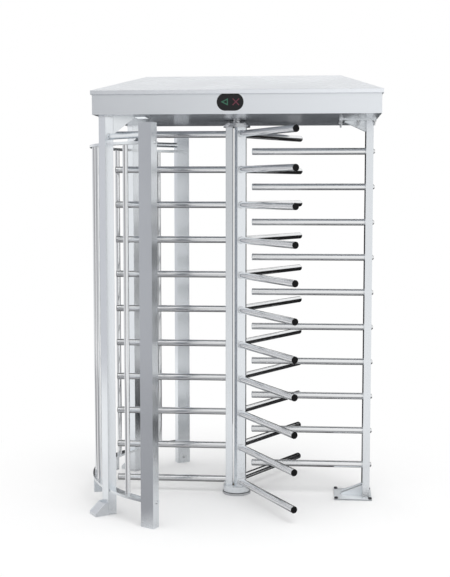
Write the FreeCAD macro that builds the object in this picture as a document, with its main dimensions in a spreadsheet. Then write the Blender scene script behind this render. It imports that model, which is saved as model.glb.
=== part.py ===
import FreeCAD
import Part
import Sketcher
import math
import os
import re
from FreeCAD import Placement, Rotation, Vector

# Full height turnstile: a three-winged rotor between a comb barrier on its right and a curved
# guard on its left, under a canopy that holds the drive. The origin is on the floor at the
# rotor's axis, X runs to the comb, Y away from the viewer and Z up. All sizes are millimetres.

SIZES = [
    ("wing_reach", 700, "rotor axis to the tip of a wing"),
    ("bar_diameter", 38, "tube of the wings and of the comb"),
    ("bar_wall", 2, "wall of those tubes"),
    ("bar_pitch", 200, "height between two bars"),
    ("wing_bar_count", 11, "bars in one wing"),
    ("lowest_wing_bar", 80, "height of the lowest wing bar's axis"),
    ("plug_length", 25, "part of a plug or insert inside its tube"),
    ("plug_lip", 3, "part of a plug outside its tube"),
    ("rest_angle", 180, "direction of the first wing at rest"),
    ("column_radius", 62, "rotor axis to an upright's outer face"),
    ("upright_width", 53, "upright across its wing"),
    ("upright_depth", 40, "upright along its wing"),
    ("upright_wall", 3, "wall of an upright"),
    ("column_bottom", 47, "lower end of the uprights"),
    ("column_top", 2118, "upper end of the uprights"),
    ("flange_radius", 76, "discs at both ends of the column"),
    ("flange_thickness", 12, "thickness of those discs"),
    ("flange_rim", 6, "wall of the lower disc's rim"),
    ("rim_clearance", 3, "lower disc's rim to the floor disc"),
    ("hub_radius", 64, "shaft hub on the upper disc"),
    ("hub_thickness", 8, "thickness of the hub"),
    ("hub_bolt_circle", 48, "radius of the hub's bolt circle"),
    ("shaft_radius", 20, "rotor shaft"),
    ("running_gap", 0.05, "radial clearance of a shaft in its bearing"),
    ("face_gap", 0.3, "clearance between a turning face and a fixed one"),
    ("base_radius", 81, "floor disc under the rotor"),
    ("base_thickness", 12, "thickness of the floor disc"),
    ("base_hole_radius", 6, "anchor hole in the floor disc"),
    ("base_hole_circle", 58, "radius of the anchor holes' circle"),
    ("boss_radius", 26, "boss under the pivot pin"),
    ("pin_radius", 15, "pivot pin"),
    ("pin_rise", 26, "pivot pin above the lower disc"),
    ("collar_radius", 50, "collar of the lower bearing"),
    ("collar_thickness", 6, "thickness of that collar"),
    ("collar_bolt_circle", 38, "radius of the collar's bolt circle"),
    ("bush_radius", 24, "outside of the lower bush"),
    ("comb_start", 87, "rotor axis to the free ends of the comb"),
    ("comb_bar_count", 10, "bars in the comb"),
    ("lowest_comb_bar", 182, "height of the lowest comb bar's axis"),
    ("comb_post_face", 728, "rotor axis to the comb post"),
    ("comb_post_depth", 40, "comb post along X"),
    ("comb_post_width", 190, "comb post along Y"),
    ("post_wall", 3, "wall of every post"),
    ("plate_thickness", 8, "foot and head plates"),
    ("comb_plate_width", 236, "comb plates along Y"),
    ("foot_plate_reach", 160, "foot plate in front of the comb post"),
    ("head_plate_reach", 150, "head plate in front of the comb post"),
    ("plate_heel", 14, "comb plates behind the comb post"),
    ("wing_clearance", 3, "wing to the gussets that it passes"),
    ("gusset_run", 120, "gusset along its plate"),
    ("comb_gusset_width", 62, "gussets of the comb post along Y"),
    ("foot_gusset_end", 12, "end of the foot gusset above its plate"),
    ("head_gusset_rise", 93, "guard's head gusset below its plate"),
    ("head_gusset_end", 4, "end of a head gusset below its plate"),
    ("gusset_wall", 4, "sheet of the gussets"),
    ("gusset_inset", 5, "depth of a gusset's slanted sheet between its sides"),
    ("bolt_radius", 5, "shank of the plate and hub bolts"),
    ("bolt_head_radius", 9, "head of those bolts"),
    ("bolt_head_height", 9, "height of that head"),
    ("bolt_play", 0.5, "hole radius over bolt radius"),
    ("bolt_inset", 11, "bolt to the plate's edges"),
    ("middle_bolt_offset", 45, "middle head bolt in front of the comb post"),
    ("thread_end", 20, "comb head bolts below their nuts"),
    ("comb_bolt_radius", 6, "shank of a comb bolt"),
    ("comb_head_radius", 15, "domed head of a comb bolt"),
    ("comb_head_height", 13, "height of that head"),
    ("cable_hole_radius", 15, "cable entry in the comb's foot plate"),
    ("guard_radius", 790, "rotor axis to the inner face of the guard posts"),
    ("guard_post_depth", 48, "guard post away from the axis"),
    ("guard_post_width", 82, "guard post along the curve"),
    ("outer_post_angle", 60.2, "outer guard posts from the -X direction"),
    ("inner_post_angle", 35.3, "inner guard posts from the -X direction"),
    ("outer_post_top", 2107, "free upper end of the outer guard posts"),
    ("cap_thickness", 4, "lid on an outer guard post"),
    ("rail_inset", 7, "rails inside the guard posts' inner faces"),
    ("rail_width", 50, "rails across the curve"),
    ("rail_thickness", 14, "thickness of the rails"),
    ("rail_end_angle", 2.8, "rails past the middle of the outer posts"),
    ("bottom_rail", 130, "height of the bottom rail's underside"),
    ("top_rail", 2000, "height of the top rail's underside"),
    ("guard_tube_diameter", 28, "upright tubes between the rails"),
    ("guard_tube_wall", 2, "wall of the guard's tubes"),
    ("near_tube_angle", 7.5, "first guard tube from the -X direction"),
    ("middle_tube_angle", 22.5, "second guard tube from the -X direction"),
    ("far_tube_angle", 48.2, "third guard tube from the -X direction"),
    ("brace_diameter", 32, "short brace between two posts"),
    ("brace_height", 2046, "height of the brace's axis"),
    ("foot_reach", 76, "guard foot behind its post"),
    ("foot_height", 68, "guard foot at its post"),
    ("foot_end", 18, "guard foot at its tip"),
    ("foot_flat", 20, "level part of the guard foot at its post"),
    ("foot_plate", 6, "floor plate of a guard foot"),
    ("socket_height", 70, "floor socket inside an outer guard post"),
    ("socket_play", 0.5, "socket to post on each side"),
    ("socket_bolt_height", 39, "height of the socket's bolt"),
    ("small_bolt_radius", 4, "shank of rail, socket and bearing bolts"),
    ("small_head_radius", 8, "head of those bolts"),
    ("small_head_height", 6, "height of that head"),
    ("rail_bolt_grip", 25, "rail bolt inside the rail's end"),
    ("lug_angle", 18, "rail lugs from the -X direction"),
    ("lug_width", 30, "rail lug along the curve"),
    ("lug_drop", 72, "rail lug below the bottom rail"),
    ("lug_bolt_drop", 62, "lug bolt below the bottom rail"),
    ("canopy_left", 722, "rotor axis to the canopy's left side"),
    ("canopy_right", 788, "rotor axis to the canopy's right side"),
    ("canopy_half_depth", 553, "rotor axis to the canopy's front"),
    ("canopy_underside", 2158, "height of the canopy's underside"),
    ("canopy_sheet", 3, "sheet of the canopy"),
    ("lip_bottom", 2262, "lower edge of the roof's lip"),
    ("lip_height", 21, "height of the roof's lip"),
    ("lip_overhang", 8, "roof lip beyond the sides"),
    ("ridge_rise", 123, "roof's ridge above the lip"),
    ("ridge_left", 518, "rotor axis to the ridge's left end"),
    ("ridge_right", 588, "rotor axis to the ridge's right end"),
    ("ridge_width", 12, "flat top of the ridge"),
    ("soffit_hole_radius", 36, "hole for the shaft in the underside"),
    ("lamp_inset", 25, "lamp's left side to the guard's head plates"),
    ("lamp_front", 418, "rotor axis to the lamp's front"),
    ("lamp_width", 60, "lamp along X"),
    ("lamp_length", 128, "lamp along Y"),
    ("lamp_thickness", 5, "lamp below the underside"),
    ("sign_offset", 5, "indicator's middle from the axis"),
    ("sign_height", 62, "indicator's middle above the underside"),
    ("sign_length", 137, "indicator window along the canopy"),
    ("sign_width", 88, "height of the indicator window"),
    ("sign_proud", 2, "indicator window in front of the sheet"),
    ("sign_depth", 30, "indicator housing behind the sheet"),
    ("symbol_gap", 30, "indicator's middle to a symbol's middle"),
    ("symbol_size", 38, "side of a symbol"),
    ("symbol_line", 6, "stroke of a symbol"),
    ("symbol_relief", 0.6, "symbol in front of its window"),
    ("beam_width", 50, "head beams along Y"),
    ("beam_height", 50, "height of the head beams"),
    ("beam_offset", 150, "rotor axis to a head beam's middle"),
    ("backing_thickness", 10, "plates over the soffit that take the head bolts"),
    ("deck_thickness", 10, "drive plate on the beams"),
    ("deck_left", 230, "drive plate to the left of the axis"),
    ("deck_right", 380, "drive plate to the right of the axis"),
    ("deck_half_depth", 190, "drive plate in front of the axis"),
    ("housing_radius", 60, "flange of the upper bearing housing"),
    ("housing_flange", 12, "thickness of that flange"),
    ("housing_boss_radius", 45, "boss of the upper bearing housing"),
    ("housing_height", 30, "height of the upper bearing housing"),
    ("housing_floor", 8, "shoulder under the upper bearing"),
    ("bearing_radius", 31, "outside of the upper bearing"),
    ("bearing_height", 18, "height of the upper bearing"),
    ("pulley_lift", 12, "rotor pulley above the bearing housing"),
    ("rotor_pulley_radius", 90, "rotor pulley"),
    ("motor_pulley_radius", 30, "motor pulley"),
    ("pulley_height", 25, "both pulleys"),
    ("belt_thickness", 3, "drive belt"),
    ("belt_height", 20, "width of the drive belt"),
    ("motor_distance", 260, "rotor axis to the motor"),
    ("motor_radius", 50, "gear motor below the drive plate"),
    ("motor_drop", 46, "gear motor below the drive plate's underside"),
    ("motor_flange", 120, "side of the motor's square flange"),
    ("motor_flange_thickness", 10, "thickness of that flange"),
    ("motor_shaft_radius", 9, "motor's output shaft"),
    ("motor_shaft_grip", 30, "output shaft inside the gear motor"),
    ("disc_radius", 110, "lock disc"),
    ("disc_thickness", 10, "thickness of the lock disc"),
    ("disc_lift", 20, "lock disc above the rotor pulley"),
    ("disc_hub_radius", 35, "hub of the lock disc"),
    ("notch_count", 12, "notches in the lock disc"),
    ("notch_width", 26, "width of a notch"),
    ("notch_depth", 16, "depth of a notch"),
    ("shaft_tail", 18, "shaft above the lock disc"),
    ("pawl_pivot_left", 90, "rotor axis to the pawl pins along X"),
    ("pawl_pivot_out", 140, "rotor axis to the pawl pins along Y"),
    ("pawl_width", 16, "arm of a lock pawl"),
    ("pawl_boss_radius", 15, "boss of a lock pawl"),
    ("pawl_tail", 56, "pawl behind its pin"),
    ("pawl_clearance", 4, "pawl tooth to the lock disc at rest"),
    ("tooth_width", 12, "pawl tooth"),
    ("tooth_lead", 3, "pawl tooth past the notch's middle at rest"),
    ("pawl_pin_radius", 6, "pin of a lock pawl"),
    ("pawl_post_radius", 11, "post under a lock pawl"),
    ("pawl_pin_rise", 22, "pawl pin above the pawl"),
    ("plunger_radius", 6, "solenoid plunger"),
    ("plunger_reach", 14, "plunger outside its solenoid"),
    ("plunger_length", 50, "length of the plunger"),
    ("solenoid_side", 40, "side of the solenoid's square section"),
    ("solenoid_length", 62, "length of the solenoid"),
    ("spring_strip", 1, "strip of the pawl's spiral spring"),
    ("spring_width", 10, "height of that strip"),
    ("spring_pitch", 2.6, "distance between two turns of that spring"),
    ("spring_turns", 3, "turns of that spring"),
    ("board_left", 560, "rotor axis to the control board's left side"),
    ("board_length", 200, "control board along X"),
    ("board_width", 130, "control board along Y"),
    ("board_thickness", 2, "thickness of the control board"),
    ("standoff_height", 12, "pillars under the control board"),
    ("standoff_radius", 4, "radius of those pillars"),
    ("standoff_inset", 10, "pillars to the board's edges"),
    ("chip_height", 14, "parts on the control board"),
    ("supply_offset", 420, "rotor axis to the power supply"),
    ("supply_length", 150, "power supply along X"),
    ("supply_width", 100, "power supply along Y"),
    ("supply_height", 40, "height of the power supply"),
]

# Values that follow from the sizes above, written once and used by name.
DERIVED = {
    "bar_radius": "bar_diameter / 2",
    "bar_bore": "bar_diameter / 2 - bar_wall",
    "wing_tube_end": "wing_reach - plug_lip",
    "highest_wing_bar": "lowest_wing_bar + (wing_bar_count - 1) * bar_pitch",
    "lower_flange_bottom": "column_bottom - flange_thickness",
    "upper_flange_top": "column_top + flange_thickness",
    "collar_bottom": "lower_flange_bottom - collar_thickness",
    "comb_tube_start": "comb_start + plug_lip",
    "comb_post_back": "comb_post_face + comb_post_depth",
    "head_plate_bottom": "canopy_underside - plate_thickness",
    "swept_run": "wing_reach + wing_clearance - comb_post_face + gusset_run",
    "foot_sweep": "lowest_wing_bar - bar_radius - wing_clearance - plate_thickness",
    "head_sweep": "head_plate_bottom - highest_wing_bar - bar_radius - wing_clearance",
    "foot_rise": "foot_gusset_end + (foot_sweep - foot_gusset_end) * gusset_run / swept_run",
    "head_rise": "head_gusset_end + (head_sweep - head_gusset_end) * gusset_run / swept_run",
    "guard_post_back": "guard_radius + guard_post_depth",
    "guard_middle": "guard_radius + guard_post_depth / 2",
    "rail_radius": "guard_radius - rail_inset",
    "rail_middle": "rail_radius + rail_width / 2",
    "rail_half_angle": "outer_post_angle + rail_end_angle",
    "guard_tube_radius": "guard_tube_diameter / 2",
    "guard_tube_base": "bottom_rail + rail_thickness",
    "bolt_hole_radius": "bolt_radius + bolt_play",
    "soffit_top": "canopy_underside + canopy_sheet",
    "lip_top": "lip_bottom + lip_height",
    "ridge_height": "lip_top + ridge_rise",
    "roof_run": "canopy_half_depth + lip_overhang - ridge_width / 2",
    "roof_slope": "ridge_rise / roof_run",
    "lamp_left": "(guard_radius - gusset_run) * cos(inner_post_angle) - lamp_inset",
    "skirt_top": "lip_top - canopy_sheet + (lip_overhang - canopy_sheet) * roof_slope - face_gap",
    "deck_bottom": "soffit_top + beam_height",
    "deck_top": "deck_bottom + deck_thickness",
    "housing_top": "deck_top + housing_height",
    "pulley_bottom": "housing_top + pulley_lift",
    "pulley_top": "pulley_bottom + pulley_height",
    "disc_bottom": "pulley_top + disc_lift",
    "disc_top": "disc_bottom + disc_thickness",
    "shaft_top": "disc_top + shaft_tail",
    "pawl_middle": "disc_bottom + disc_thickness / 2",
    "pawl_rest_tip": "disc_radius + pawl_clearance",
    "plunger_start": "pawl_pivot_out - pawl_width / 2 - face_gap",
    "plunger_line": "pawl_pivot_left + pawl_tail - pawl_width / 2",
    "sign_middle": "canopy_underside + sign_height",
    "board_bottom": "soffit_top + standoff_height",
    "motor_flange_top": "deck_top + motor_flange_thickness",
    "spring_bore": "pawl_pin_radius + running_gap",
    "brace_half_angle": "(outer_post_angle - inner_post_angle) / 2",
    "brace_angle": "(outer_post_angle + inner_post_angle) / 2",
}

WING_COUNT = 3
GUARD_TUBE_ANGLES = ("near_tube_angle", "middle_tube_angle", "far_tube_angle")
SIDES = ("+", "-")

# Shares that give small forms their shape.
DOME_EDGE = 0.4  # straight part of a domed head, of its height
DOME_FLAT = 0.6  # flat top of a domed head, of its radius
PLUG_EDGE = 0.33  # straight part of a plug's lip, of its thickness
PLUG_FLAT = 0.8  # flat end of a plug, of its tube's radius
ARROW_SIDE = 1.6  # slanted strokes of the arrow, of its upright stroke
ARROW_TIP = 2.2  # tip of the arrow to its opening, of its upright stroke
CROSS_ARM = 0.7  # half stroke of the cross along the sides, of a stroke
HEAD_BOLT_SHARES = (0.25, 0.75)  # bolts of a guard head plate, of its length before the post
BOARD_PARTS = (  # name, left, front, length and width of the board, height of the tallest part
    ("board_terminals", 0.12, -0.33, 0.10, 0.66, 1),
    ("board_relays", 0.33, -0.25, 0.20, 0.25, 1),
    ("board_processor", 0.62, 0, 0.17, 0.25, 0.33),
)

doc = FreeCAD.newDocument("full_height_turnstile")
sheet = doc.addObject("Spreadsheet::Sheet", "Sizes")
aliases = set()
for row_number, (alias, amount, meaning) in enumerate(SIZES, start=1):
    sheet.set("A%d" % row_number, meaning)
    sheet.set("B%d" % row_number, str(amount))
    sheet.setAlias("B%d" % row_number, alias)
    aliases.add(alias)
doc.recompute()

WORDS = re.compile(r"\b[a-z_]+\b")
nodes = {}


def bound(text):
    """An expression of size names, with each name pointing at its cell."""
    def cell(match):
        word = match.group(0)
        if word in DERIVED:
            return "(%s)" % bound(DERIVED[word])
        if word in aliases:
            return "Sizes." + word
        return word
    return WORDS.sub(cell, str(text))


def value(text):
    """The number that an expression of size names gives now."""
    return float(sheet.evalExpression(bound(text)))


def bind(item, setting, text):
    item.setExpression(setting, bound(text))


def place(item, base, angle=None):
    """Binds an object's position, and its turn about the vertical axis."""
    for axis, text in zip("xyz", base):
        bind(item, "Placement.Base." + axis, text)
    if angle is not None:
        item.Placement.Rotation = Rotation(Vector(0, 0, 1), 1)
        bind(item, "Placement.Rotation.Angle", angle)
    return item


def node(name, item):
    """Gives a finished piece its own name."""
    item.Label = name
    nodes[name] = item
    return item


def box(name, corner, extent):
    item = doc.addObject("Part::Box", name)
    for setting, text in zip(("Length", "Width", "Height"), extent):
        bind(item, setting, text)
    return place(item, corner)


TURNS = {
    "x": Rotation(Vector(0, 1, 0), 90),
    "y": Rotation(Vector(1, 0, 0), -90),
    "z": Rotation(),
}


def rod(name, base, radius, length, along="z"):
    item = doc.addObject("Part::Cylinder", name)
    bind(item, "Radius", radius)
    bind(item, "Height", length)
    item.Placement.Rotation = TURNS[along]
    return place(item, base)


def fuse(name, items):
    item = doc.addObject("Part::MultiFuse", name)
    item.Shapes = items
    item.Refine = True
    return item


def cut(name, base, tools):
    item = doc.addObject("Part::Cut", name)
    item.Base = base
    item.Tool = tools[0] if len(tools) == 1 else fuse(name + "_tools", tools)
    return item


def group(name, items):
    """Several separate solids under one name."""
    item = doc.addObject("Part::Compound", name)
    item.Links = items
    return item


def copy_of(source, base=(0, 0, 0), angle=None):
    item = doc.addObject("App::Link", source.Name + "_copy")
    item.LinkedObject = source
    item.LinkTransform = True
    return place(item, base, angle)


def turned_copy(source, base, rotation):
    """A copy that lies another way: rotation is fixed, the position is bound."""
    item = doc.addObject("App::Link", source.Name + "_copy")
    item.LinkedObject = source
    item.LinkTransform = True
    item.Placement = Placement(Vector(), rotation)
    return place(item, base)


def wrapped(name, item, angle):
    """A piece drawn on the +X side, turned about the rotor axis."""
    return place(group(name, [item]), (0, 0, 0), angle)


def new_body(name):
    body = doc.addObject("PartDesign::Body", name)
    body.AllowCompound = True
    return body


def origin_feature(body, role):
    return next(item for item in body.Origin.OriginFeatures if item.Role == role)


def new_sketch(body, plane, offset=0):
    sketch = body.newObject("Sketcher::SketchObject", body.Name + "_sketch")
    sketch.AttachmentSupport = [(origin_feature(body, plane), "")]
    sketch.MapMode = "FlatFace"
    bind(sketch, "AttachmentOffset.Base.z", offset)
    return sketch


def hold(sketch, kind, first, second, text):
    """Adds a dimension to a sketch and binds it."""
    index = sketch.addConstraint(Sketcher.Constraint(kind, *first, *second, value(text)))
    bind(sketch, "Constraints[%d]" % index, text)


def hold_point(sketch, edge, point, spot):
    for kind, axis, text in (("DistanceX", -2, spot[0]), ("DistanceY", -1, spot[1])):
        if str(text) == "0":
            sketch.addConstraint(Sketcher.Constraint("PointOnObject", edge, point, axis))
        else:
            hold(sketch, kind, (-1, 1), (edge, point), text)


def polygon(sketch, spots):
    """Closed straight-sided outline through the given spots."""
    first = sketch.GeometryCount
    corners = [Vector(value(across), value(up), 0) for across, up in spots]
    for start, end in zip(corners, corners[1:] + corners[:1]):
        sketch.addGeometry(Part.LineSegment(start, end), False)
    for step, spot in enumerate(spots):
        following = first + (step + 1) % len(spots)
        sketch.addConstraint(Sketcher.Constraint("Coincident", first + step, 2, following, 1))
        hold_point(sketch, first + step, 1, spot)


def circle(sketch, spot, radius):
    centre = Vector(value(spot[0]), value(spot[1]), 0)
    edge = sketch.addGeometry(Part.Circle(centre, Vector(0, 0, 1), value(radius)), False)
    hold_point(sketch, edge, 3, spot)
    hold(sketch, "Radius", (edge,), (), radius)


def pad(body, sketch, length):
    feature = body.newObject("PartDesign::Pad", body.Name + "_pad")
    feature.Profile = sketch
    bind(feature, "Length", length)
    body.Tip = feature
    return feature


def lathe(name, spots):
    """Body of revolution about Z from its half section (radius, height)."""
    body = new_body(name)
    sketch = new_sketch(body, "XZ_Plane")
    polygon(sketch, spots)
    feature = body.newObject("PartDesign::Revolution", name + "_turning")
    feature.Profile = sketch
    feature.ReferenceAxis = (sketch, ["V_Axis"])
    feature.Angle = 360
    body.Tip = feature
    return body


def stack(body, feature, count):
    """Repeats a feature upwards at the bar pitch."""
    pattern = body.newObject("PartDesign::LinearPattern", body.Name + "_stack")
    pattern.Originals = [feature]
    pattern.Direction = (origin_feature(body, "Z_Axis"), [""])
    bind(pattern, "Length", "(%s - 1) * bar_pitch" % count)
    bind(pattern, "Occurrences", count)
    body.Tip = pattern
    return pattern


def ring(name, source, count, radius, height, start_angle=0):
    """Copies of a source around the rotor axis, each turned with its place."""
    items = []
    for step in range(count):
        angle = "%s + %s" % (start_angle, 360.0 * step / count)
        base = ("%s * cos(%s)" % (radius, angle), "%s * sin(%s)" % (radius, angle), height)
        items.append(copy_of(source, base, angle))
    return group(name, items)


def bolt(name, shank_radius, shank_length, head_radius, head_height):
    """Bolt with a domed head on z = 0 and its shank below."""
    return lathe(name, [
        (0, "-(%s)" % shank_length),
        (shank_radius, "-(%s)" % shank_length),
        (shank_radius, 0),
        (head_radius, 0),
        (head_radius, "%s * %s" % (head_height, DOME_EDGE)),
        ("%s * %s" % (head_radius, DOME_FLAT), head_height),
        (0, head_height),
    ])


def nut_bolt(name, grip):
    """Bolt with its head on z = 0, and a nut and the thread's end below what it holds."""
    nut = "-(%s + bolt_head_height)" % grip
    tip = "%s - thread_end" % nut
    return lathe(name, [
        (0, tip),
        ("bolt_radius", tip),
        ("bolt_radius", nut),
        ("bolt_head_radius", nut),
        ("bolt_head_radius", "-(%s)" % grip),
        ("bolt_radius", "-(%s)" % grip),
        ("bolt_radius", 0),
        ("bolt_head_radius", 0),
        ("bolt_head_radius", "bolt_head_height"),
        (0, "bolt_head_height"),
    ])


HEAD_DOWN = Rotation(Vector(1, 0, 0), 180)
HEAD_BEFORE_AXIS = Rotation(Vector(0, 1, 0), -90)
HEAD_BEHIND_AXIS = Rotation(Vector(0, 1, 0), 90)
HEAD_LEFT = Rotation(Vector(1, 0, 0), -90)
HEAD_RIGHT = Rotation(Vector(1, 0, 0), 90)


def disc(name, bottom, thickness, radius, bore=None, holes=None):
    """Flat disc; holes is (count, circle, hole radius)."""
    body = new_body(name)
    sketch = new_sketch(body, "XY_Plane", bottom)
    circle(sketch, (0, 0), radius)
    if bore:
        circle(sketch, (0, 0), bore)
    if holes:
        count, hole_circle, hole_radius = holes
        for step in range(count):
            angle = (step + 0.5) * 360 / count
            spot = ("%s * cos(%s)" % (hole_circle, angle), "%s * sin(%s)" % (hole_circle, angle))
            circle(sketch, spot, hole_radius)
    pad(body, sketch, thickness)
    return body


def half_turn(count):
    """The angle of the first of so many holes of a disc."""
    return 180 / count


def bracket(name, face, inward, level, upward, sizes, plate):
    """Plate with a box gusset on it. face is the post's face, level the plate's inner side.

    sizes holds the gusset's run, rise, end height, level part and width. plate holds the
    plate's underside, its first and last X, its width and thickness, and its holes.
    """
    run, rise, end, flat, width = sizes
    bottom, first, last, plate_width, thickness, holes = plate
    body = new_body(name)

    def across(distance):
        return "%s %s (%s)" % (face, "-" if inward else "+", distance)

    def up(height):
        return "%s %s (%s)" % (level, "+" if upward else "-", height)

    sketch = new_sketch(body, "XY_Plane", bottom)
    half = "%s / 2" % plate_width
    polygon(sketch, [(first, "-" + half), (last, "-" + half), (last, half), (first, half)])
    for spot, radius in holes:
        circle(sketch, spot, radius)
    pad(body, sketch, thickness)

    crest = [(across(flat), up(rise)), (across(0), up(rise))] if flat else [(across(0), up(rise))]
    side = [(across(0), up(0)), (across(run), up(0)), (across(run), up(end))] + crest
    for offset in ("%s / 2 - gusset_wall" % width, "-%s / 2" % width):
        sketch = new_sketch(body, "XZ_Plane", offset)
        polygon(sketch, side)
        pad(body, sketch, "gusset_wall")

    top = [(run, end)] + ([(flat, rise)] if flat else []) + [(0, rise)]
    lowered = "%s - gusset_inset"
    strip = [(across(u), up(lowered % w)) for u, w in top]
    strip += [(across(u), up(lowered % w + " - gusset_wall")) for u, w in reversed(top)]
    sketch = new_sketch(body, "XZ_Plane", "-%s / 2" % width)
    polygon(sketch, strip)
    pad(body, sketch, width)

    if value("%s - gusset_inset - gusset_wall" % end) > 0:
        sketch = new_sketch(body, "XZ_Plane", "-%s / 2" % width)
        inner = "%s - gusset_wall" % run
        edge = lowered % end
        polygon(sketch, [(across(inner), up(0)), (across(run), up(0)),
                         (across(run), up(edge)), (across(inner), up(edge))])
        pad(body, sketch, width)
    return body


def tube_bars(name, start, length, lowest, count):
    """A stack of level tubes along +X."""
    body = new_body(name)
    sketch = new_sketch(body, "YZ_Plane", start)
    circle(sketch, (0, lowest), "bar_radius")
    circle(sketch, (0, lowest), "bar_bore")
    stack(body, pad(body, sketch, length), count)
    return body


def tube_ends(name, start, lip, lowest, count):
    """A stack of plugs: a stem inside each tube and a domed lip outside it, towards +X."""
    body = new_body(name)
    sketch = new_sketch(body, "XZ_Plane")
    polygon(sketch, [
        ("%s - plug_length" % start, lowest),
        ("%s - plug_length" % start, "%s + bar_bore" % lowest),
        (start, "%s + bar_bore" % lowest),
        (start, "%s + bar_radius" % lowest),
        ("%s + %s * %s" % (start, lip, PLUG_EDGE), "%s + bar_radius" % lowest),
        ("%s + %s" % (start, lip), "%s + bar_radius * %s" % (lowest, PLUG_FLAT)),
        ("%s + %s" % (start, lip), lowest),
    ])
    feature = body.newObject("PartDesign::Revolution", name + "_turning")
    feature.Profile = sketch
    feature.ReferenceAxis = (sketch, ["Edge7"])
    feature.Angle = 360
    stack(body, feature, count)
    return body


def hollow_box(name, corner, extent, wall):
    """Upright rectangular tube, open at both ends."""
    outer = box(name + "_outer", corner, extent)
    inner_corner = ["%s + %s" % (text, wall) for text in corner[:2]] + [corner[2]]
    inner_extent = ["%s - 2 * %s" % (text, wall) for text in extent[:2]] + [extent[2]]
    inner = box(name + "_inner", inner_corner, inner_extent)
    return cut(name, outer, [inner])


def wing_angle(step):
    return "rest_angle + %d" % (360 // WING_COUNT * step)


def make_rotor():
    """Column, wings, end discs, shaft and what turns with them."""
    upright = hollow_box(
        "upright",
        ("column_radius - upright_depth", "-upright_width / 2", "column_bottom"),
        ("upright_depth", "upright_width", "column_top - column_bottom"),
        "upright_wall")
    uprights = [copy_of(upright, angle=wing_angle(step)) for step in range(WING_COUNT)]
    node("column_uprights", group("column_uprights", uprights))

    for step in range(WING_COUNT):
        name = "wing_bars_%d" % (step + 1)
        bars = tube_bars(name, "column_radius", "wing_tube_end - column_radius",
                         "lowest_wing_bar", "wing_bar_count")
        node(name, place(bars, (0, 0, 0), wing_angle(step)))
    plugs = tube_ends("wing_plugs", "wing_tube_end", "plug_lip", "lowest_wing_bar",
                      "wing_bar_count")
    turned = [copy_of(plugs, angle=wing_angle(step)) for step in range(WING_COUNT)]
    node("wing_end_plugs", group("wing_end_plugs", turned))

    collar_holes = (4, "collar_bolt_circle", "small_bolt_radius + bolt_play")
    lower_disc = disc("lower_disc", "lower_flange_bottom", "flange_thickness", "flange_radius",
                      "bush_radius", collar_holes)
    rim_bottom = "base_thickness + rim_clearance"
    rim = lathe("lower_disc_rim", [
        ("flange_radius - flange_rim", rim_bottom),
        ("flange_radius", rim_bottom),
        ("flange_radius", "lower_flange_bottom"),
        ("flange_radius - flange_rim", "lower_flange_bottom"),
    ])
    node("rotor_bottom_flange", fuse("rotor_bottom_flange", [lower_disc, rim]))
    hub_holes = (6, "hub_bolt_circle", "bolt_hole_radius")
    node("rotor_top_flange", disc("rotor_top_flange", "column_top", "flange_thickness",
                                  "flange_radius", None, hub_holes))

    bearing = lathe("bearing_turning", [
        ("pin_radius + running_gap", "collar_bottom"),
        ("collar_radius", "collar_bottom"),
        ("collar_radius", "lower_flange_bottom"),
        ("bush_radius", "lower_flange_bottom"),
        ("bush_radius", "column_bottom"),
        ("pin_radius + running_gap", "column_bottom"),
    ])
    drill = rod("collar_drill", (0, 0, 0), "small_bolt_radius + bolt_play", "collar_thickness")
    drills = ring("collar_drills", drill, 4, "collar_bolt_circle", "collar_bottom", half_turn(4))
    node("bottom_bearing", cut("bottom_bearing", bearing, [drills]))

    turning = lathe("shaft_turning", [
        (0, "upper_flange_top"),
        ("hub_radius", "upper_flange_top"),
        ("hub_radius", "upper_flange_top + hub_thickness"),
        ("shaft_radius", "upper_flange_top + hub_thickness"),
        ("shaft_radius", "shaft_top"),
        (0, "shaft_top"),
    ])
    drill = rod("hub_drill", (0, 0, 0), "bolt_hole_radius", "hub_thickness")
    drills = ring("hub_drills", drill, 6, "hub_bolt_circle", "upper_flange_top", half_turn(6))
    node("rotor_shaft", cut("rotor_shaft", turning, [drills]))

    hub_bolt = bolt("hub_bolt", "bolt_radius", "hub_thickness + flange_thickness",
                    "bolt_head_radius", "bolt_head_height")
    upper = ring("hub_bolts", hub_bolt, 6, "hub_bolt_circle",
                 "upper_flange_top + hub_thickness", half_turn(6))
    collar_bolt = bolt("collar_bolt", "small_bolt_radius",
                       "collar_thickness + flange_thickness",
                       "small_head_radius", "small_head_height")
    hanging = group("collar_bolt_below", [turned_copy(collar_bolt, (0, 0, 0), HEAD_DOWN)])
    lower = ring("collar_bolts", hanging, 4, "collar_bolt_circle", "collar_bottom", half_turn(4))
    node("rotor_flange_bolts", group("rotor_flange_bolts", [upper, lower]))

    node("rotor_pulley", lathe("rotor_pulley", [
        ("shaft_radius", "pulley_bottom - pulley_lift / 2"),
        ("disc_hub_radius", "pulley_bottom - pulley_lift / 2"),
        ("disc_hub_radius", "pulley_bottom"),
        ("rotor_pulley_radius", "pulley_bottom"),
        ("rotor_pulley_radius", "pulley_top"),
        ("shaft_radius", "pulley_top"),
    ]))

    turning = lathe("lock_disc_turning", [
        ("shaft_radius", "pulley_top"),
        ("disc_hub_radius", "pulley_top"),
        ("disc_hub_radius", "disc_bottom"),
        ("disc_radius", "disc_bottom"),
        ("disc_radius", "disc_top"),
        ("shaft_radius", "disc_top"),
    ])
    notch = box("notch", ("disc_radius - notch_depth", "-notch_width / 2", "disc_bottom"),
                ("2 * notch_depth", "notch_width", "disc_thickness"))
    notches = ring("notches", notch, int(value("notch_count")), 0, 0)
    node("lock_disc", cut("lock_disc", turning, [notches]))


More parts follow.
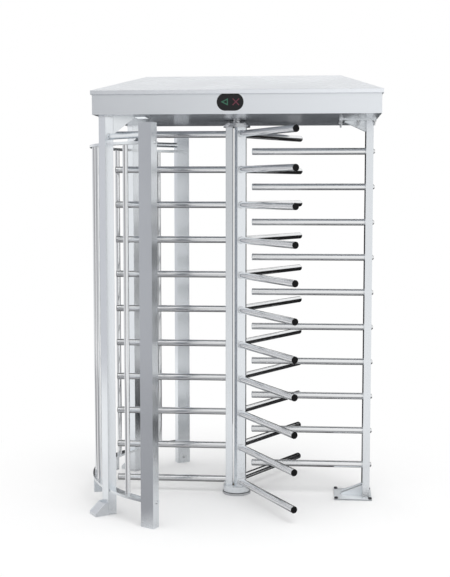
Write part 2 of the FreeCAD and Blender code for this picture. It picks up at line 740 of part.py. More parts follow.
def make_floor_base():
    turning = lathe("base_turning", [
        (0, 0),
        ("base_radius", 0),
        ("base_radius", "base_thickness"),
        ("boss_radius", "base_thickness"),
        ("boss_radius", "collar_bottom - face_gap"),
        ("pin_radius", "collar_bottom - face_gap"),
        ("pin_radius", "column_bottom + pin_rise"),
        (0, "column_bottom + pin_rise"),
    ])
    drill = rod("base_drill", (0, 0, 0), "base_hole_radius", "base_thickness")
    drills = ring("base_drills", drill, 4, "base_hole_circle", 0, half_turn(4))
    node("floor_base", cut("floor_base", turning, [drills]))


def comb_levels():
    count = int(value("comb_bar_count"))
    return ["lowest_comb_bar + %d * bar_pitch" % step for step in range(count)]


def comb_foot_bolts():
    """Places of the four anchors of the comb's foot plate."""
    first = "comb_post_face - foot_plate_reach + bolt_inset"
    last = "comb_post_back + plate_heel - bolt_inset"
    out = "comb_plate_width / 2 - bolt_inset"
    return [(across, sign + "(" + out + ")") for across in (first, last) for sign in ("-", "")]


def comb_head_bolts():
    """Places of the six bolts of the comb's head plate."""
    columns = (
        "comb_post_face - head_plate_reach + bolt_inset",
        "comb_post_face - middle_bolt_offset",
        "comb_post_back + plate_heel - bolt_inset",
    )
    out = "comb_plate_width / 2 - bolt_inset"
    return [(across, sign + "(" + out + ")") for across in columns for sign in ("-", "")]


def guard_head_bolts():
    """Places of the two bolts of a guard head plate, drawn on the +X side."""
    return [("guard_radius - gusset_run * %s" % share, 0) for share in HEAD_BOLT_SHARES]


def make_comb():
    """Post, bars, bolts and the brackets at the post's ends."""
    post = hollow_box(
        "comb_post_tube",
        ("comb_post_face", "-comb_post_width / 2", "plate_thickness"),
        ("comb_post_depth", "comb_post_width", "head_plate_bottom - plate_thickness"),
        "post_wall")
    drills = [rod("post_drill", ("comb_post_face", 0, level), "comb_bolt_radius + bolt_play",
                  "comb_post_depth", "x") for level in comb_levels()]
    node("comb_post", cut("comb_post", post, drills))

    node("comb_bars", tube_bars("comb_bars", "comb_tube_start",
                                "comb_post_face - comb_tube_start",
                                "lowest_comb_bar", "comb_bar_count"))
    caps = tube_ends("comb_caps", 0, "plug_lip", "lowest_comb_bar", "comb_bar_count")
    facing = place(group("comb_caps_turned", [caps]), ("comb_tube_start", 0, 0), 180)
    node("comb_end_caps", facing)

    insert = new_body("insert")
    sketch = new_sketch(insert, "YZ_Plane", "comb_post_face - plug_length")
    circle(sketch, (0, "lowest_comb_bar"), "bar_bore")
    circle(sketch, (0, "lowest_comb_bar"), "comb_bolt_radius + bolt_play / 2")
    stack(insert, pad(insert, sketch, "plug_length"), "comb_bar_count")
    node("comb_bar_inserts", insert)

    comb_bolt = bolt("comb_bolt", "comb_bolt_radius", "comb_post_depth + plug_length",
                     "comb_head_radius", "comb_head_height")
    bolts = [turned_copy(comb_bolt, ("comb_post_back", 0, level), HEAD_BEHIND_AXIS)
             for level in comb_levels()]
    node("comb_bolts", group("comb_bolts", bolts))

    last = "comb_post_back + plate_heel"
    cable_hole = (("comb_post_face + comb_post_depth / 2", 0), "cable_hole_radius")
    foot_holes = [(spot, "bolt_hole_radius") for spot in comb_foot_bolts()] + [cable_hole]
    node("comb_foot", bracket(
        "comb_foot", "comb_post_face", True, "plate_thickness", True,
        ("gusset_run", "foot_rise", "foot_gusset_end", None, "comb_gusset_width"),
        (0, "comb_post_face - foot_plate_reach", last, "comb_plate_width", "plate_thickness",
         foot_holes)))
    head_holes = [(spot, "bolt_hole_radius") for spot in comb_head_bolts()]
    node("comb_head_bracket", bracket(
        "comb_head_bracket", "comb_post_face", True, "head_plate_bottom", False,
        ("gusset_run", "head_rise", "head_gusset_end", None, "comb_gusset_width"),
        ("head_plate_bottom", "comb_post_face - head_plate_reach", last, "comb_plate_width",
         "plate_thickness", head_holes)))

    anchor = bolt("floor_anchor", "bolt_radius", "plate_thickness", "bolt_head_radius",
                  "bolt_head_height")
    anchors = [copy_of(anchor, (across, out, "plate_thickness"))
               for across, out in comb_foot_bolts()]
    node("floor_anchors", group("floor_anchors", anchors))


def guard_angle(text, sign):
    """Direction of a guard piece: sign + is towards the front, - towards the rear."""
    return "180 %s %s" % (sign, text)


def both_sides(source, text):
    return [copy_of(source, angle=guard_angle(text, sign)) for sign in SIDES]


def make_guard():
    """Curved guard on the left: four posts, two rails, upright tubes, braces and feet."""
    width = ("guard_post_depth", "guard_post_width")
    corner = ("guard_radius", "-guard_post_width / 2")
    rail_levels = ["%s + rail_thickness / 2" % rail for rail in ("bottom_rail", "top_rail")]
    drill_radius = "small_bolt_radius + bolt_play"

    outer = hollow_box("outer_post_tube", corner + (0,),
                       width + ("outer_post_top - cap_thickness",), "post_wall")
    drills = [rod("rail_drill", ("rail_middle", "-guard_post_width / 2", level), drill_radius,
                  "guard_post_width", "y") for level in rail_levels]
    drills.append(rod("socket_drill", ("guard_radius", 0, "socket_bolt_height"), drill_radius,
                      "post_wall", "x"))
    outer = cut("outer_post", outer, drills)
    node("guard_outer_posts", group("guard_outer_posts", both_sides(outer, "outer_post_angle")))
    cap = box("outer_post_cap", corner + ("outer_post_top - cap_thickness",),
              width + ("cap_thickness",))
    node("guard_post_caps", group("guard_post_caps", both_sides(cap, "outer_post_angle")))

    inner = hollow_box("inner_post", corner + ("foot_plate",),
                       width + ("head_plate_bottom - foot_plate",), "post_wall")
    node("guard_inner_posts", group("guard_inner_posts", both_sides(inner, "inner_post_angle")))

    inset = "post_wall + socket_play"
    socket = hollow_box(
        "socket_tube",
        ("guard_radius + " + inset, "-guard_post_width / 2 + " + inset, 0),
        ("guard_post_depth - 2 * (%s)" % inset, "guard_post_width - 2 * (%s)" % inset,
         "socket_height"), "gusset_wall")
    drill = rod("socket_wall_drill", ("guard_radius", 0, "socket_bolt_height"), drill_radius,
                "%s + gusset_wall" % inset, "x")
    socket = cut("socket", socket, [drill])
    node("post_sockets", group("post_sockets", both_sides(socket, "outer_post_angle")))

    envelope = box("post_envelope", corner + (0,), width + ("outer_post_top",))
    for name, bottom in (("guard_bottom_rail", "bottom_rail"), ("guard_top_rail", "top_rail")):
        outside = rod(name + "_outside", (0, 0, bottom), "rail_radius + rail_width",
                      "rail_thickness")
        bind(outside, "Angle", "2 * rail_half_angle")
        place(outside, (0, 0, bottom), "180 - rail_half_angle")
        inside = rod(name + "_inside", (0, 0, bottom), "rail_radius", "rail_thickness")
        grip = "rail_bolt_grip + guard_post_width / 2"
        bore = rod(name + "_bore", ("rail_middle", "-(%s)" % grip,
                                    "%s + rail_thickness / 2" % bottom),
                   drill_radius, "2 * (%s)" % grip, "y")
        tools = [inside] + both_sides(envelope, "inner_post_angle")
        tools += both_sides(envelope, "outer_post_angle")
        tools += both_sides(group(name + "_drill", [bore]), "outer_post_angle")
        node(name, cut(name, outside, tools))

    tube = cut("guard_tube", rod("guard_tube_outside", ("rail_middle", 0, "guard_tube_base"),
                                 "guard_tube_radius", "top_rail - guard_tube_base"),
               [rod("guard_tube_inside", ("rail_middle", 0, "guard_tube_base"),
                    "guard_tube_radius - guard_tube_wall", "top_rail - guard_tube_base")])
    tubes = [copy for text in GUARD_TUBE_ANGLES for copy in both_sides(tube, text)]
    node("guard_tubes", group("guard_tubes", tubes))

    half_length = "guard_middle * sin(brace_half_angle)"
    start = ("guard_middle * cos(brace_half_angle)", "-(%s)" % half_length, "brace_height")
    length = "2 * (%s)" % half_length
    solid = rod("brace_outside", start, "brace_diameter / 2", length, "y")
    hollow = rod("brace_inside", start, "brace_diameter / 2 - guard_tube_wall", length, "y")
    ends = [copy_of(envelope, angle=sign + "brace_half_angle") for sign in ("", "-")]
    brace = cut("brace", solid, [hollow] + ends)
    node("guard_braces", group("guard_braces", both_sides(brace, "brace_angle")))

    foot = bracket(
        "guard_foot", "guard_post_back", False, "foot_plate", True,
        ("foot_reach", "foot_height - foot_plate", "foot_end - foot_plate", "foot_flat",
         "guard_post_width"),
        (0, "guard_radius", "guard_post_back + foot_reach", "guard_post_width", "foot_plate", []))
    node("guard_feet", group("guard_feet", both_sides(foot, "inner_post_angle")))
    head_holes = [(spot, "bolt_hole_radius") for spot in guard_head_bolts()]
    head = bracket(
        "guard_head", "guard_radius", True, "head_plate_bottom", False,
        ("gusset_run", "head_gusset_rise", "head_gusset_end", None, "guard_post_width"),
        ("head_plate_bottom", "guard_radius - gusset_run", "guard_post_back",
         "guard_post_width", "plate_thickness", head_holes))
    node("guard_head_brackets", group("guard_head_brackets",
                                      both_sides(head, "inner_post_angle")))

    lug = cut("rail_lug",
              box("lug_block", ("rail_radius", "-lug_width / 2", "bottom_rail - lug_drop"),
                  ("rail_width", "lug_width", "lug_drop")),
              [rod("lug_drill", ("rail_radius", 0, "bottom_rail - lug_bolt_drop"), drill_radius,
                   "rail_width", "x")])
    node("rail_lugs", group("rail_lugs", both_sides(lug, "lug_angle")))

    bolts = []
    rail_bolt = bolt("rail_bolt", "small_bolt_radius", "guard_post_width + rail_bolt_grip",
                     "small_head_radius", "small_head_height")
    short_bolt = bolt("short_bolt", "small_bolt_radius", "%s + gusset_wall" % inset,
                      "small_head_radius", "small_head_height")
    for sign, rotation, out in zip(SIDES, (HEAD_LEFT, HEAD_RIGHT), ("", "-")):
        heads = [turned_copy(rail_bolt, ("rail_middle", out + "guard_post_width / 2", level),
                             rotation) for level in rail_levels]
        heads.append(turned_copy(short_bolt, ("guard_radius", 0, "socket_bolt_height"),
                                 HEAD_BEFORE_AXIS))
        side = group("outer_post_bolts", heads)
        bolts.append(place(side, (0, 0, 0), guard_angle("outer_post_angle", sign)))
        lug_bolt = turned_copy(short_bolt, ("rail_radius", 0, "bottom_rail - lug_bolt_drop"),
                               HEAD_BEFORE_AXIS)
        bolts.append(wrapped("lug_bolt", lug_bolt, guard_angle("lug_angle", sign)))
    node("guard_bolts", group("guard_bolts", bolts))


def canopy_bolt_spots(comb_piece, guard_piece):
    """Copies of a piece at every bolt of the three head brackets."""
    spots = [copy_of(comb_piece, (across, out, 0)) for across, out in comb_head_bolts()]
    pair = group(guard_piece.Name + "_pair",
                 [copy_of(guard_piece, (across, out, 0)) for across, out in guard_head_bolts()])
    return spots + both_sides(pair, "inner_post_angle")


def hip(name, inset):
    """Roof body with its lip, shrunk by inset on every side."""
    wedge = doc.addObject("Part::Wedge", name + "_wedge")
    wedge.Placement.Rotation = Rotation(Vector(1, 0, 0), 90)
    settings = {
        "Xmin": "-(canopy_left + lip_overhang - %s)",
        "Xmax": "canopy_right + lip_overhang - %s",
        "Zmin": "-(canopy_half_depth + lip_overhang - %s)",
        "Zmax": "canopy_half_depth + lip_overhang - %s",
        "Ymin": "lip_top - %s",
        "Ymax": "ridge_height - %s",
    }
    for setting, text in settings.items():
        bind(wedge, setting, text % inset)
    bind(wedge, "X2min", "-ridge_left")
    bind(wedge, "X2max", "ridge_right")
    bind(wedge, "Z2min", "-ridge_width / 2")
    bind(wedge, "Z2max", "ridge_width / 2")
    lip = box(name + "_lip",
              ("-(canopy_left + lip_overhang - %s)" % inset,
               "-(canopy_half_depth + lip_overhang - %s)" % inset, "lip_bottom"),
              ("canopy_left + canopy_right + 2 * (lip_overhang - %s)" % inset,
               "2 * (canopy_half_depth + lip_overhang - %s)" % inset, "lip_height - %s" % inset))
    return fuse(name, [wedge, lip])


def pill(name, back, thickness, grow):
    """Round-ended plate of the indicator, seen from the front."""
    radius = "sign_width / 2 + %s" % grow
    span = "sign_length - sign_width"
    middle = box(name + "_middle",
                 ("sign_offset - (%s) / 2" % span, "-(%s)" % back, "sign_middle - (%s)" % radius),
                 (span, thickness, "2 * (%s)" % radius))
    ends = [rod(name + "_end", ("sign_offset %s (%s) / 2" % (sign, span), "-(%s)" % back,
                                "sign_middle"), radius, thickness, "y") for sign in "-+"]
    return fuse(name, [middle] + ends)


def symbol(name, outline, hollow=None):
    """Thin raised figure on the indicator window, about its own middle."""
    body = new_body(name)
    sketch = new_sketch(body, "XZ_Plane", "canopy_half_depth + sign_proud")
    middle, corners = outline
    for spots in (corners, hollow):
        if spots:
            polygon(sketch, [("%s + %s" % (middle, across), "sign_middle + %s" % up)
                             for across, up in spots])
    pad(body, sketch, "symbol_relief")
    return body


def both_signs(name, item):
    node(name, group(name, [copy_of(item), copy_of(item, angle=180)]))


def make_signs():
    """Indicators on the front and on the rear of the canopy."""
    both_signs("indicator_windows", pill("sign_window", "canopy_half_depth + sign_proud",
                                         "sign_proud + canopy_sheet", 0))
    both_signs("indicator_housings", pill("sign_housing", "canopy_half_depth - canopy_sheet",
                                          "sign_depth", "canopy_sheet"))
    half = "symbol_size / 2"
    arrow = [("(-%s)" % half, "0"), (half, half), (half, "(-%s)" % half)]
    inner = "(symbol_size / 2 - symbol_line)"
    rise = "(symbol_size / 2 - %s * symbol_line)" % ARROW_SIDE
    tip = "(%s * symbol_line - symbol_size / 2)" % ARROW_TIP
    hollow = [(tip, "0"), (inner, rise), (inner, "(-%s)" % rise)]
    both_signs("indicator_arrows",
               symbol("sign_arrow", ("sign_offset - symbol_gap", arrow), hollow))
    arm = "(%s * symbol_line)" % CROSS_ARM
    cut_back = "(symbol_size / 2 - %s)" % arm
    quarter = [(half, cut_back), (cut_back, half), ("0", arm)]
    cross = []
    for sign_x, sign_z, swap in (("", "", False), ("-", "", True), ("-", "-", False),
                                 ("", "-", True)):
        corner = quarter[:2][::-1] if swap else quarter[:2]
        cross += [("(%s%s)" % (sign_x, across), "(%s%s)" % (sign_z, up)) for across, up in corner]
        notch = {("", ""): ("0", arm), ("-", ""): ("(-%s)" % arm, "0"),
                 ("-", "-"): ("0", "(-%s)" % arm), ("", "-"): (arm, "0")}[(sign_x, sign_z)]
        cross.append(notch)
    both_signs("indicator_crosses", symbol("sign_cross", ("sign_offset + symbol_gap", cross)))


def make_canopy():
    """Roof, sides, underside, and the beams that carry the drive."""
    roof = cut("roof_panel", hip("roof_outside", 0), [hip("roof_inside", "canopy_sheet")])
    node("roof_panel", roof)

    span = "canopy_left + canopy_right"
    skirt = hollow_box(
        "skirt_sheet",
        ("-canopy_left", "-canopy_half_depth", "canopy_underside"),
        (span, "2 * canopy_half_depth", "skirt_top - canopy_underside"), "canopy_sheet")
    window = pill("sign_cutout", "canopy_half_depth", "canopy_sheet", 0)
    node("canopy_skirt", cut("canopy_skirt", skirt, [copy_of(window), copy_of(window, angle=180)]))

    soffit = box("soffit_sheet",
                 ("-canopy_left + canopy_sheet", "-canopy_half_depth + canopy_sheet",
                  "canopy_underside"),
                 (span + " - 2 * canopy_sheet", "2 * (canopy_half_depth - canopy_sheet)",
                  "canopy_sheet"))
    shaft_hole = rod("soffit_hole", (0, 0, "canopy_underside"), "soffit_hole_radius",
                     "canopy_sheet")
    drill = rod("head_drill", (0, 0, "canopy_underside"), "bolt_hole_radius",
                "canopy_sheet + backing_thickness")
    node("canopy_soffit", cut("canopy_soffit", soffit,
                              [shaft_hole] + canopy_bolt_spots(drill, drill)))
    node("soffit_lamp", box("soffit_lamp",
                            ("-lamp_left", "-lamp_front", "canopy_underside - lamp_thickness"),
                            ("lamp_width", "lamp_length", "lamp_thickness")))

    comb_backing = box("comb_backing",
                       ("comb_post_face - head_plate_reach", "-comb_plate_width / 2",
                        "soffit_top"),
                       ("head_plate_reach + comb_post_depth + plate_heel", "comb_plate_width",
                        "backing_thickness"))
    guard_backing = box("guard_backing",
                        ("guard_radius - gusset_run", "-guard_post_width / 2", "soffit_top"),
                        ("gusset_run + guard_post_depth", "guard_post_width",
                         "backing_thickness"))
    plates = group("backing_sheets",
                   [comb_backing] + both_sides(guard_backing, "inner_post_angle"))
    node("backing_plates", cut("backing_plates", plates, canopy_bolt_spots(drill, drill)))
    grip = "plate_thickness + canopy_sheet + backing_thickness"
    top = (0, 0, "soffit_top + backing_thickness")
    through = place(nut_bolt("through_bolt", grip), top)
    screwed = place(bolt("screwed_bolt", "bolt_radius", grip, "bolt_head_radius",
                         "bolt_head_height"), top)
    node("head_bolts", group("head_bolts", canopy_bolt_spots(through, screwed)))

    beam = cut("head_beam",
               box("beam_outside", ("-canopy_left + canopy_sheet",
                                    "beam_offset - beam_width / 2", "soffit_top"),
                   (span + " - 2 * canopy_sheet", "beam_width", "beam_height")),
               [box("beam_inside", ("-canopy_left", "beam_offset - beam_width / 2 + post_wall",
                                    "soffit_top + post_wall"),
                    (span, "beam_width - 2 * post_wall", "beam_height - 2 * post_wall"))])
    node("head_beams", group("head_beams",
                             [copy_of(beam), copy_of(beam, (0, "-2 * beam_offset", 0))]))


def mirrored(name, source):
    item = doc.addObject("Part::Mirroring", name)
    item.Source = source
    item.Normal = Vector(0, 1, 0)
    return item


def belt_outline(growth):
    """Closed line round both pulleys, this far outside them."""
    large = value("rotor_pulley_radius + face_gap") + growth
    small = value("motor_pulley_radius + face_gap") + growth
    distance = value("motor_distance")
    angle = math.acos((large - small) / distance)

    def spot(centre, radius, turn):
        return Vector(centre + radius * math.cos(turn), radius * math.sin(turn), 0)

    edges = [
        Part.Arc(spot(0, large, angle), spot(0, large, math.pi), spot(0, large, -angle)),
        Part.LineSegment(spot(0, large, -angle), spot(distance, small, -angle)),
        Part.Arc(spot(distance, small, -angle), spot(distance, small, 0),
                 spot(distance, small, angle)),
        Part.LineSegment(spot(distance, small, angle), spot(0, large, angle)),
    ]
    return Part.Face(Part.Wire([edge.toShape() for edge in edges]))


def make_drive():
    """Drive plate, upper bearing, motor and belt."""
    plate = box("deck_sheet", ("-deck_left", "-deck_half_depth", "deck_bottom"),
                ("deck_left + deck_right", "2 * deck_half_depth", "deck_thickness"))
    shaft_hole = rod("deck_shaft_hole", (0, 0, "deck_bottom"), "bearing_radius",
                     "deck_thickness")
    motor_hole = rod("deck_motor_hole", ("motor_distance", 0, "deck_bottom"),
                     "motor_radius + bolt_play", "deck_thickness")
    node("drive_plate", cut("drive_plate", plate, [shaft_hole, motor_hole]))

    shoulder = "(shaft_radius + bearing_radius) / 2"
    node("top_bearing_housing", lathe("top_bearing_housing", [
        (shoulder, "deck_top"),
        ("housing_radius", "deck_top"),
        ("housing_radius", "deck_top + housing_flange"),
        ("housing_boss_radius", "deck_top + housing_flange"),
        ("housing_boss_radius", "housing_top"),
        ("bearing_radius", "housing_top"),
        ("bearing_radius", "deck_top + housing_floor"),
        (shoulder, "deck_top + housing_floor"),
    ]))
    node("top_bearing", disc("top_bearing", "deck_top + housing_floor", "bearing_height",
                             "bearing_radius", "shaft_radius + running_gap"))

    body = rod("motor_case", ("motor_distance", 0, "deck_bottom - motor_drop"), "motor_radius",
               "motor_drop + deck_thickness")
    flange = box("motor_flange_plate",
                 ("motor_distance - motor_flange / 2", "-motor_flange / 2", "deck_top"),
                 ("motor_flange", "motor_flange", "motor_flange_thickness"))
    bore = rod("motor_bore", ("motor_distance", 0, "motor_flange_top - motor_shaft_grip"),
               "motor_shaft_radius + running_gap", "motor_shaft_grip")
    node("motor_gearbox", cut("motor_gearbox", fuse("motor_block", [body, flange]), [bore]))
    node("motor_shaft", rod(
        "motor_shaft",
        ("motor_distance", 0, "motor_flange_top - motor_shaft_grip + face_gap"),
        "motor_shaft_radius", "pulley_top - motor_flange_top + motor_shaft_grip"))
    pulley = disc("motor_pulley_turning", "pulley_bottom", "pulley_height",
                  "motor_pulley_radius", "motor_shaft_radius")
    node("motor_pulley", place(group("motor_pulley", [pulley]), ("motor_distance", 0, 0)))

    height = value("belt_height")
    outside = belt_outline(value("belt_thickness")).extrude(Vector(0, 0, height))
    inside = belt_outline(0).extrude(Vector(0, 0, height))
    belt = doc.addObject("Part::Feature", "drive_belt")
    belt.Shape = outside.cut(inside)
    place(belt, (0, 0, "pulley_bottom + (pulley_height - belt_height) / 2"))
    node("drive_belt", belt)


def spiral_spring():
    """Flat strip wound round a pin: half rings about two centres half a pitch apart."""
    bottom = "disc_top + face_gap"
    halves = []
    for step in range(int(value("spring_turns"))):
        for centre, angle in (("0", 0), ("spring_pitch / 2", 180)):
            bore = "spring_bore + %s + %d * spring_pitch" % (centre, step)
            outside = rod("spring_outside", (0, 0, 0), bore + " + spring_strip", "spring_width")
            bind(outside, "Angle", "180")
            inside = rod("spring_inside", (0, 0, 0), bore, "spring_width")
            halves.append(place(cut("spring_half", outside, [inside]), (centre, 0, bottom),
                                angle))
    return fuse("spring", halves)


def make_lock():
    """Two pawls that drop into the notched disc, one for each direction, and their solenoids."""
    arm = box("pawl_arm", ("-pawl_tail", "-pawl_width / 2", "disc_bottom"),
              ("pawl_tail + pawl_pivot_left + tooth_lead + tooth_width / 2", "pawl_width",
               "disc_thickness"))
    tooth = box("pawl_tooth", ("pawl_pivot_left + tooth_lead - tooth_width / 2", 0,
                               "disc_bottom"),
                ("tooth_width", "pawl_pivot_out - pawl_rest_tip", "disc_thickness"))
    boss = rod("pawl_boss", (0, 0, "disc_bottom"), "pawl_boss_radius", "disc_thickness")
    bore = rod("pawl_bore", (0, 0, "disc_bottom"), "pawl_pin_radius + running_gap",
               "disc_thickness")
    front = cut("pawl_front", fuse("pawl_blank", [arm, tooth, boss]), [bore])
    node("pawl_front", place(front, ("-pawl_pivot_left", "-pawl_pivot_out", 0)))
    node("pawl_rear", mirrored("pawl_rear", front))

    pin = lathe("pawl_pin", [
        (0, "deck_top"),
        ("pawl_post_radius", "deck_top"),
        ("pawl_post_radius", "disc_bottom - face_gap"),
        ("pawl_pin_radius", "disc_bottom - face_gap"),
        ("pawl_pin_radius", "disc_top + pawl_pin_rise"),
        (0, "disc_top + pawl_pin_rise"),
    ])
    node("pawl_pins", group("pawl_pins", [
        copy_of(pin, ("-pawl_pivot_left", sign + "pawl_pivot_out", 0)) for sign in ("-", "")]))

    spring = spiral_spring()
    node("pawl_springs", group("pawl_springs", [
        copy_of(spring, ("-pawl_pivot_left", sign + "pawl_pivot_out", 0)) for sign in ("-", "")]))

    half = "solenoid_side / 2"
    nose = "-(plunger_start - plunger_reach)"
    case = box("solenoid_case", ("-plunger_line - " + half, nose, "pawl_middle - " + half),
               ("solenoid_side", "solenoid_length", "solenoid_side"))
    stand = box("solenoid_stand", ("-plunger_line - %s / 2" % half, nose, "deck_top"),
                (half, "solenoid_length", "pawl_middle - %s - deck_top" % half))
    bore = rod("solenoid_bore", ("-plunger_line", nose, "pawl_middle"),
               "plunger_radius + running_gap", "plunger_length - plunger_reach + face_gap", "y")
    front = cut("solenoid_front", fuse("solenoid_block", [case, stand]), [bore])
    node("lock_solenoids", group("lock_solenoids", [front, mirrored("solenoid_rear", front)]))
    plunger = rod("plunger_front", ("-plunger_line", "-plunger_start", "pawl_middle"),
                  "plunger_radius", "plunger_length", "y")
    node("plunger_front", plunger)
    node("plunger_rear", mirrored("plunger_rear", plunger))


def make_controls():
    """Control board on its pillars, and the power supply."""
    board = box("board_sheet", ("-board_left", "-board_width / 2", "board_bottom"),
                ("board_length", "board_width", "board_thickness"))
    pillars = []
    for across in ("-board_left + standoff_inset", "-board_left + board_length - standoff_inset"):
        for sign in ("-", ""):
            out = sign + "(board_width / 2 - standoff_inset)"
            pillars.append(rod("standoff", (across, out, "soffit_top"), "standoff_radius",
                               "standoff_height"))
    top = "board_bottom + board_thickness"
    parts = [box(name, ("-board_left + board_length * %s" % left, "board_width * %s" % front, top),
                 ("board_length * %s" % length, "board_width * %s" % width,
                  "chip_height * %s" % height))
             for name, left, front, length, width, height in BOARD_PARTS]
    node("control_board", fuse("control_board", [board] + pillars + parts))
    node("power_supply", box("power_supply", ("supply_offset", "-supply_width / 2",
                                              "soffit_top"),
                             ("supply_length", "supply_width", "supply_height")))


make_rotor()
make_floor_base()
make_comb()
make_guard()
make_canopy()
make_signs()
make_drive()
make_lock()
make_controls()
doc.recompute()

failed = [item.Name for item in doc.Objects
          if any(word in ("Invalid", "Error") for word in item.State)]
if failed:
    raise RuntimeError("failed objects: " + ", ".join(failed))
if len(nodes) > 60:
    raise RuntimeError("too many nodes: %d" % len(nodes))

os.makedirs("parts", exist_ok=True)
for name, item in nodes.items():
    shape = item.Shape
    if shape.isNull() or not shape.isValid() or not shape.Solids:
        raise RuntimeError("bad shape: " + name)
    shape.exportStep("parts/%s.step" % name)
    print("%-22s %3d solids %12.0f mm3" % (name, len(shape.Solids), shape.Volume))
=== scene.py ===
import math

import bmesh
import bpy
from mathutils import Matrix, Vector


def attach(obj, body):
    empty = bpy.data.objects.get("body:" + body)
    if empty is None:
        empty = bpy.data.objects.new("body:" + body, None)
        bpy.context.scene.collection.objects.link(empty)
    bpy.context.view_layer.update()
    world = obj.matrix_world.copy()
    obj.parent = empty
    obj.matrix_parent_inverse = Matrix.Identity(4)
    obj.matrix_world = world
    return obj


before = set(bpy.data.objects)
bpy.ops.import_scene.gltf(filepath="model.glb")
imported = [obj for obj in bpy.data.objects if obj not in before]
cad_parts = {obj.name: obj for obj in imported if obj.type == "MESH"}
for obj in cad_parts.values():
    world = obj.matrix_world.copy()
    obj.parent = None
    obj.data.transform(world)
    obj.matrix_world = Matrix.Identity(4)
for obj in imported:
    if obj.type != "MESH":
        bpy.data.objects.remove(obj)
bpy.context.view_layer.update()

bl_info = {
    "name": "Full height turnstile",
    "version": (1, 0, 0),
    "blender": (4, 5, 0),
    "location": "3D View > Sidebar > Turnstile",
    "description": "Finishes, welds, fasteners and studio for a full height turnstile",
    "category": "Object",
}

AXIS_UP = Vector((0, 0, 1))
SIDES = (1, -1)


# Places in the part's frame, in metres.

WING_ANGLES = (180, 300, 60)
WING_LEVELS = [0.080 + 0.2 * step for step in range(11)]
WING_TIP = 0.700
BAR_RADIUS = 0.019
COLUMN_RADIUS = 0.062
COLUMN_ENDS = (0.047, 2.118)
UPRIGHT = (0.040, 0.053)
HUB_HEADS = (0.048, 0, 2.147)
HUB_HEAD_HEIGHT = 0.009

COMB_LEVELS = [0.182 + 0.2 * step for step in range(10)]
COMB_START = 0.087
COMB_POST = (0.728, 0.768)
COMB_POST_WIDTH = 0.190
COMB_HEAD = 0.013
COMB_PLATES = (0.008, 2.150)
COMB_GUSSET_START = 0.608
COMB_GUSSET_HALF = 0.031
COMB_GUSSET_HEIGHT = 0.058
COMB_ANCHORS = [(x, y) for x in (0.579, 0.771) for y in (-0.107, 0.107)]
COMB_NUTS = [(x, y) for x in (0.589, 0.683, 0.771) for y in (-0.107, 0.107)]

GUARD_TUBE_ANGLES = (7.5, 22.5, 48.2)
GUARD_TUBE_RADIUS = 0.014
GUARD_INNER_ANGLE = 35.3
GUARD_OUTER_ANGLE = 60.2
GUARD_POST = (0.790, 0.838)
GUARD_POST_WIDTH = 0.082
GUARD_PLATES = (0.006, 2.150)
GUARD_LID = 2.103
RAIL_MIDDLE = 0.808
RAIL_FACES = (0.144, 2.000)
RAIL_BOLTS = (0.137, 2.007)
LUG_BOLTS = ((GUARD_POST[0], GUARD_OUTER_ANGLE, 0.039), (0.783, 18, 0.068))
BRACE = (0.016, 2.046)

SIGN = (0.005, 2.220, 0.137, 0.088)
SIGN_FACE = 0.5534
LAMP = ((-0.5218, -0.418), (-0.4618, -0.290), 2.153)
CANOPY_UNDERSIDE = 2.158

MOTOR_X = 0.260
MOTOR_FIN = (2.168, 0.0055, 7)
DECK_TOP = 2.231
HOUSING_TOP = 2.233
PULLEY_RIMS = (2.2632, 2.2862)
BALL_RING = (0.0256, 0, 2.2458)
SHAFT_NUT = (0, 0, 2.318)
PAWL_PIN = (-0.09, 0.14, 2.336)
BOARD_TOP = 2.175
SUPPLY_TOP = 2.2005
SOLENOID_FACES = ((-0.1588, 2.2922), (-0.1172, 2.3338))


def turned(point, degrees):
    """A point turned about the rotor's axis."""
    return Matrix.Rotation(math.radians(degrees), 3, "Z") @ Vector(point)


def guard_spot(radius, along, height, degrees, side):
    """A point of the guard: out from the axis, along the curve and up, at an angle from -X."""
    angle = math.radians(degrees)
    x = -radius * math.cos(angle) + along * math.sin(angle)
    y = radius * math.sin(angle) + along * math.cos(angle)
    return Vector((x, side * y, height))


def side_spot(radius, along, height, degrees, side):
    """A point on the side of a guard post, and the direction away from that side."""
    place = guard_spot(radius, along, height, degrees, side)
    return place, guard_spot(radius, 2 * along, height, degrees, side) - place


def rectangle(near, far, half, level):
    """Corners of a level rectangle between two X values, with its middle on Y = 0."""
    return [(near, -half, level), (near, half, level), (far, half, level), (far, -half, level)]


def post_corners(level, degrees, side, inset=0.0):
    """Corners of a guard post at a level; inset draws them in."""
    corners = rectangle(GUARD_POST[0] + inset, GUARD_POST[1] - inset,
                        GUARD_POST_WIDTH / 2 - inset, level)
    return [guard_spot(*corner, degrees, side) for corner in corners]


# Mesh helpers.


def link_new(name, data):
    obj = bpy.data.objects.new(name, data)
    bpy.context.scene.collection.objects.link(obj)
    return obj


def mesh_from(build, *given):
    """Runs a function that fills a bmesh, and gives the mesh with smooth faces."""
    bm = bmesh.new()
    build(bm, *given)
    bmesh.ops.recalc_face_normals(bm, faces=bm.faces)
    mesh = bpy.data.meshes.new("piece")
    bm.to_mesh(mesh)
    bm.free()
    mesh.polygons.foreach_set("use_smooth", [True] * len(mesh.polygons))
    return mesh


def piece(name, build, body, look, *given, crisp=None):
    """Makes a piece that rides on its body; edges over crisp degrees stay sharp.

    look is its slot, which is not used, and its finish. build fills its bmesh and takes what is
    given after look."""
    slot_name, finish = look
    mesh = mesh_from(build, *given)
    mesh.name = name
    obj = link_new(name, mesh)
    mesh.materials.append(material(finish))
    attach(obj, body)
    if crisp:
        mesh.set_sharp_from_angle(angle=math.radians(crisp))


def round_points(radius, height, count):
    """Points of a circle about Z."""
    angles = [2 * math.pi * step / count for step in range(count)]
    return [Vector((radius * math.cos(angle), radius * math.sin(angle), height))
            for angle in angles]


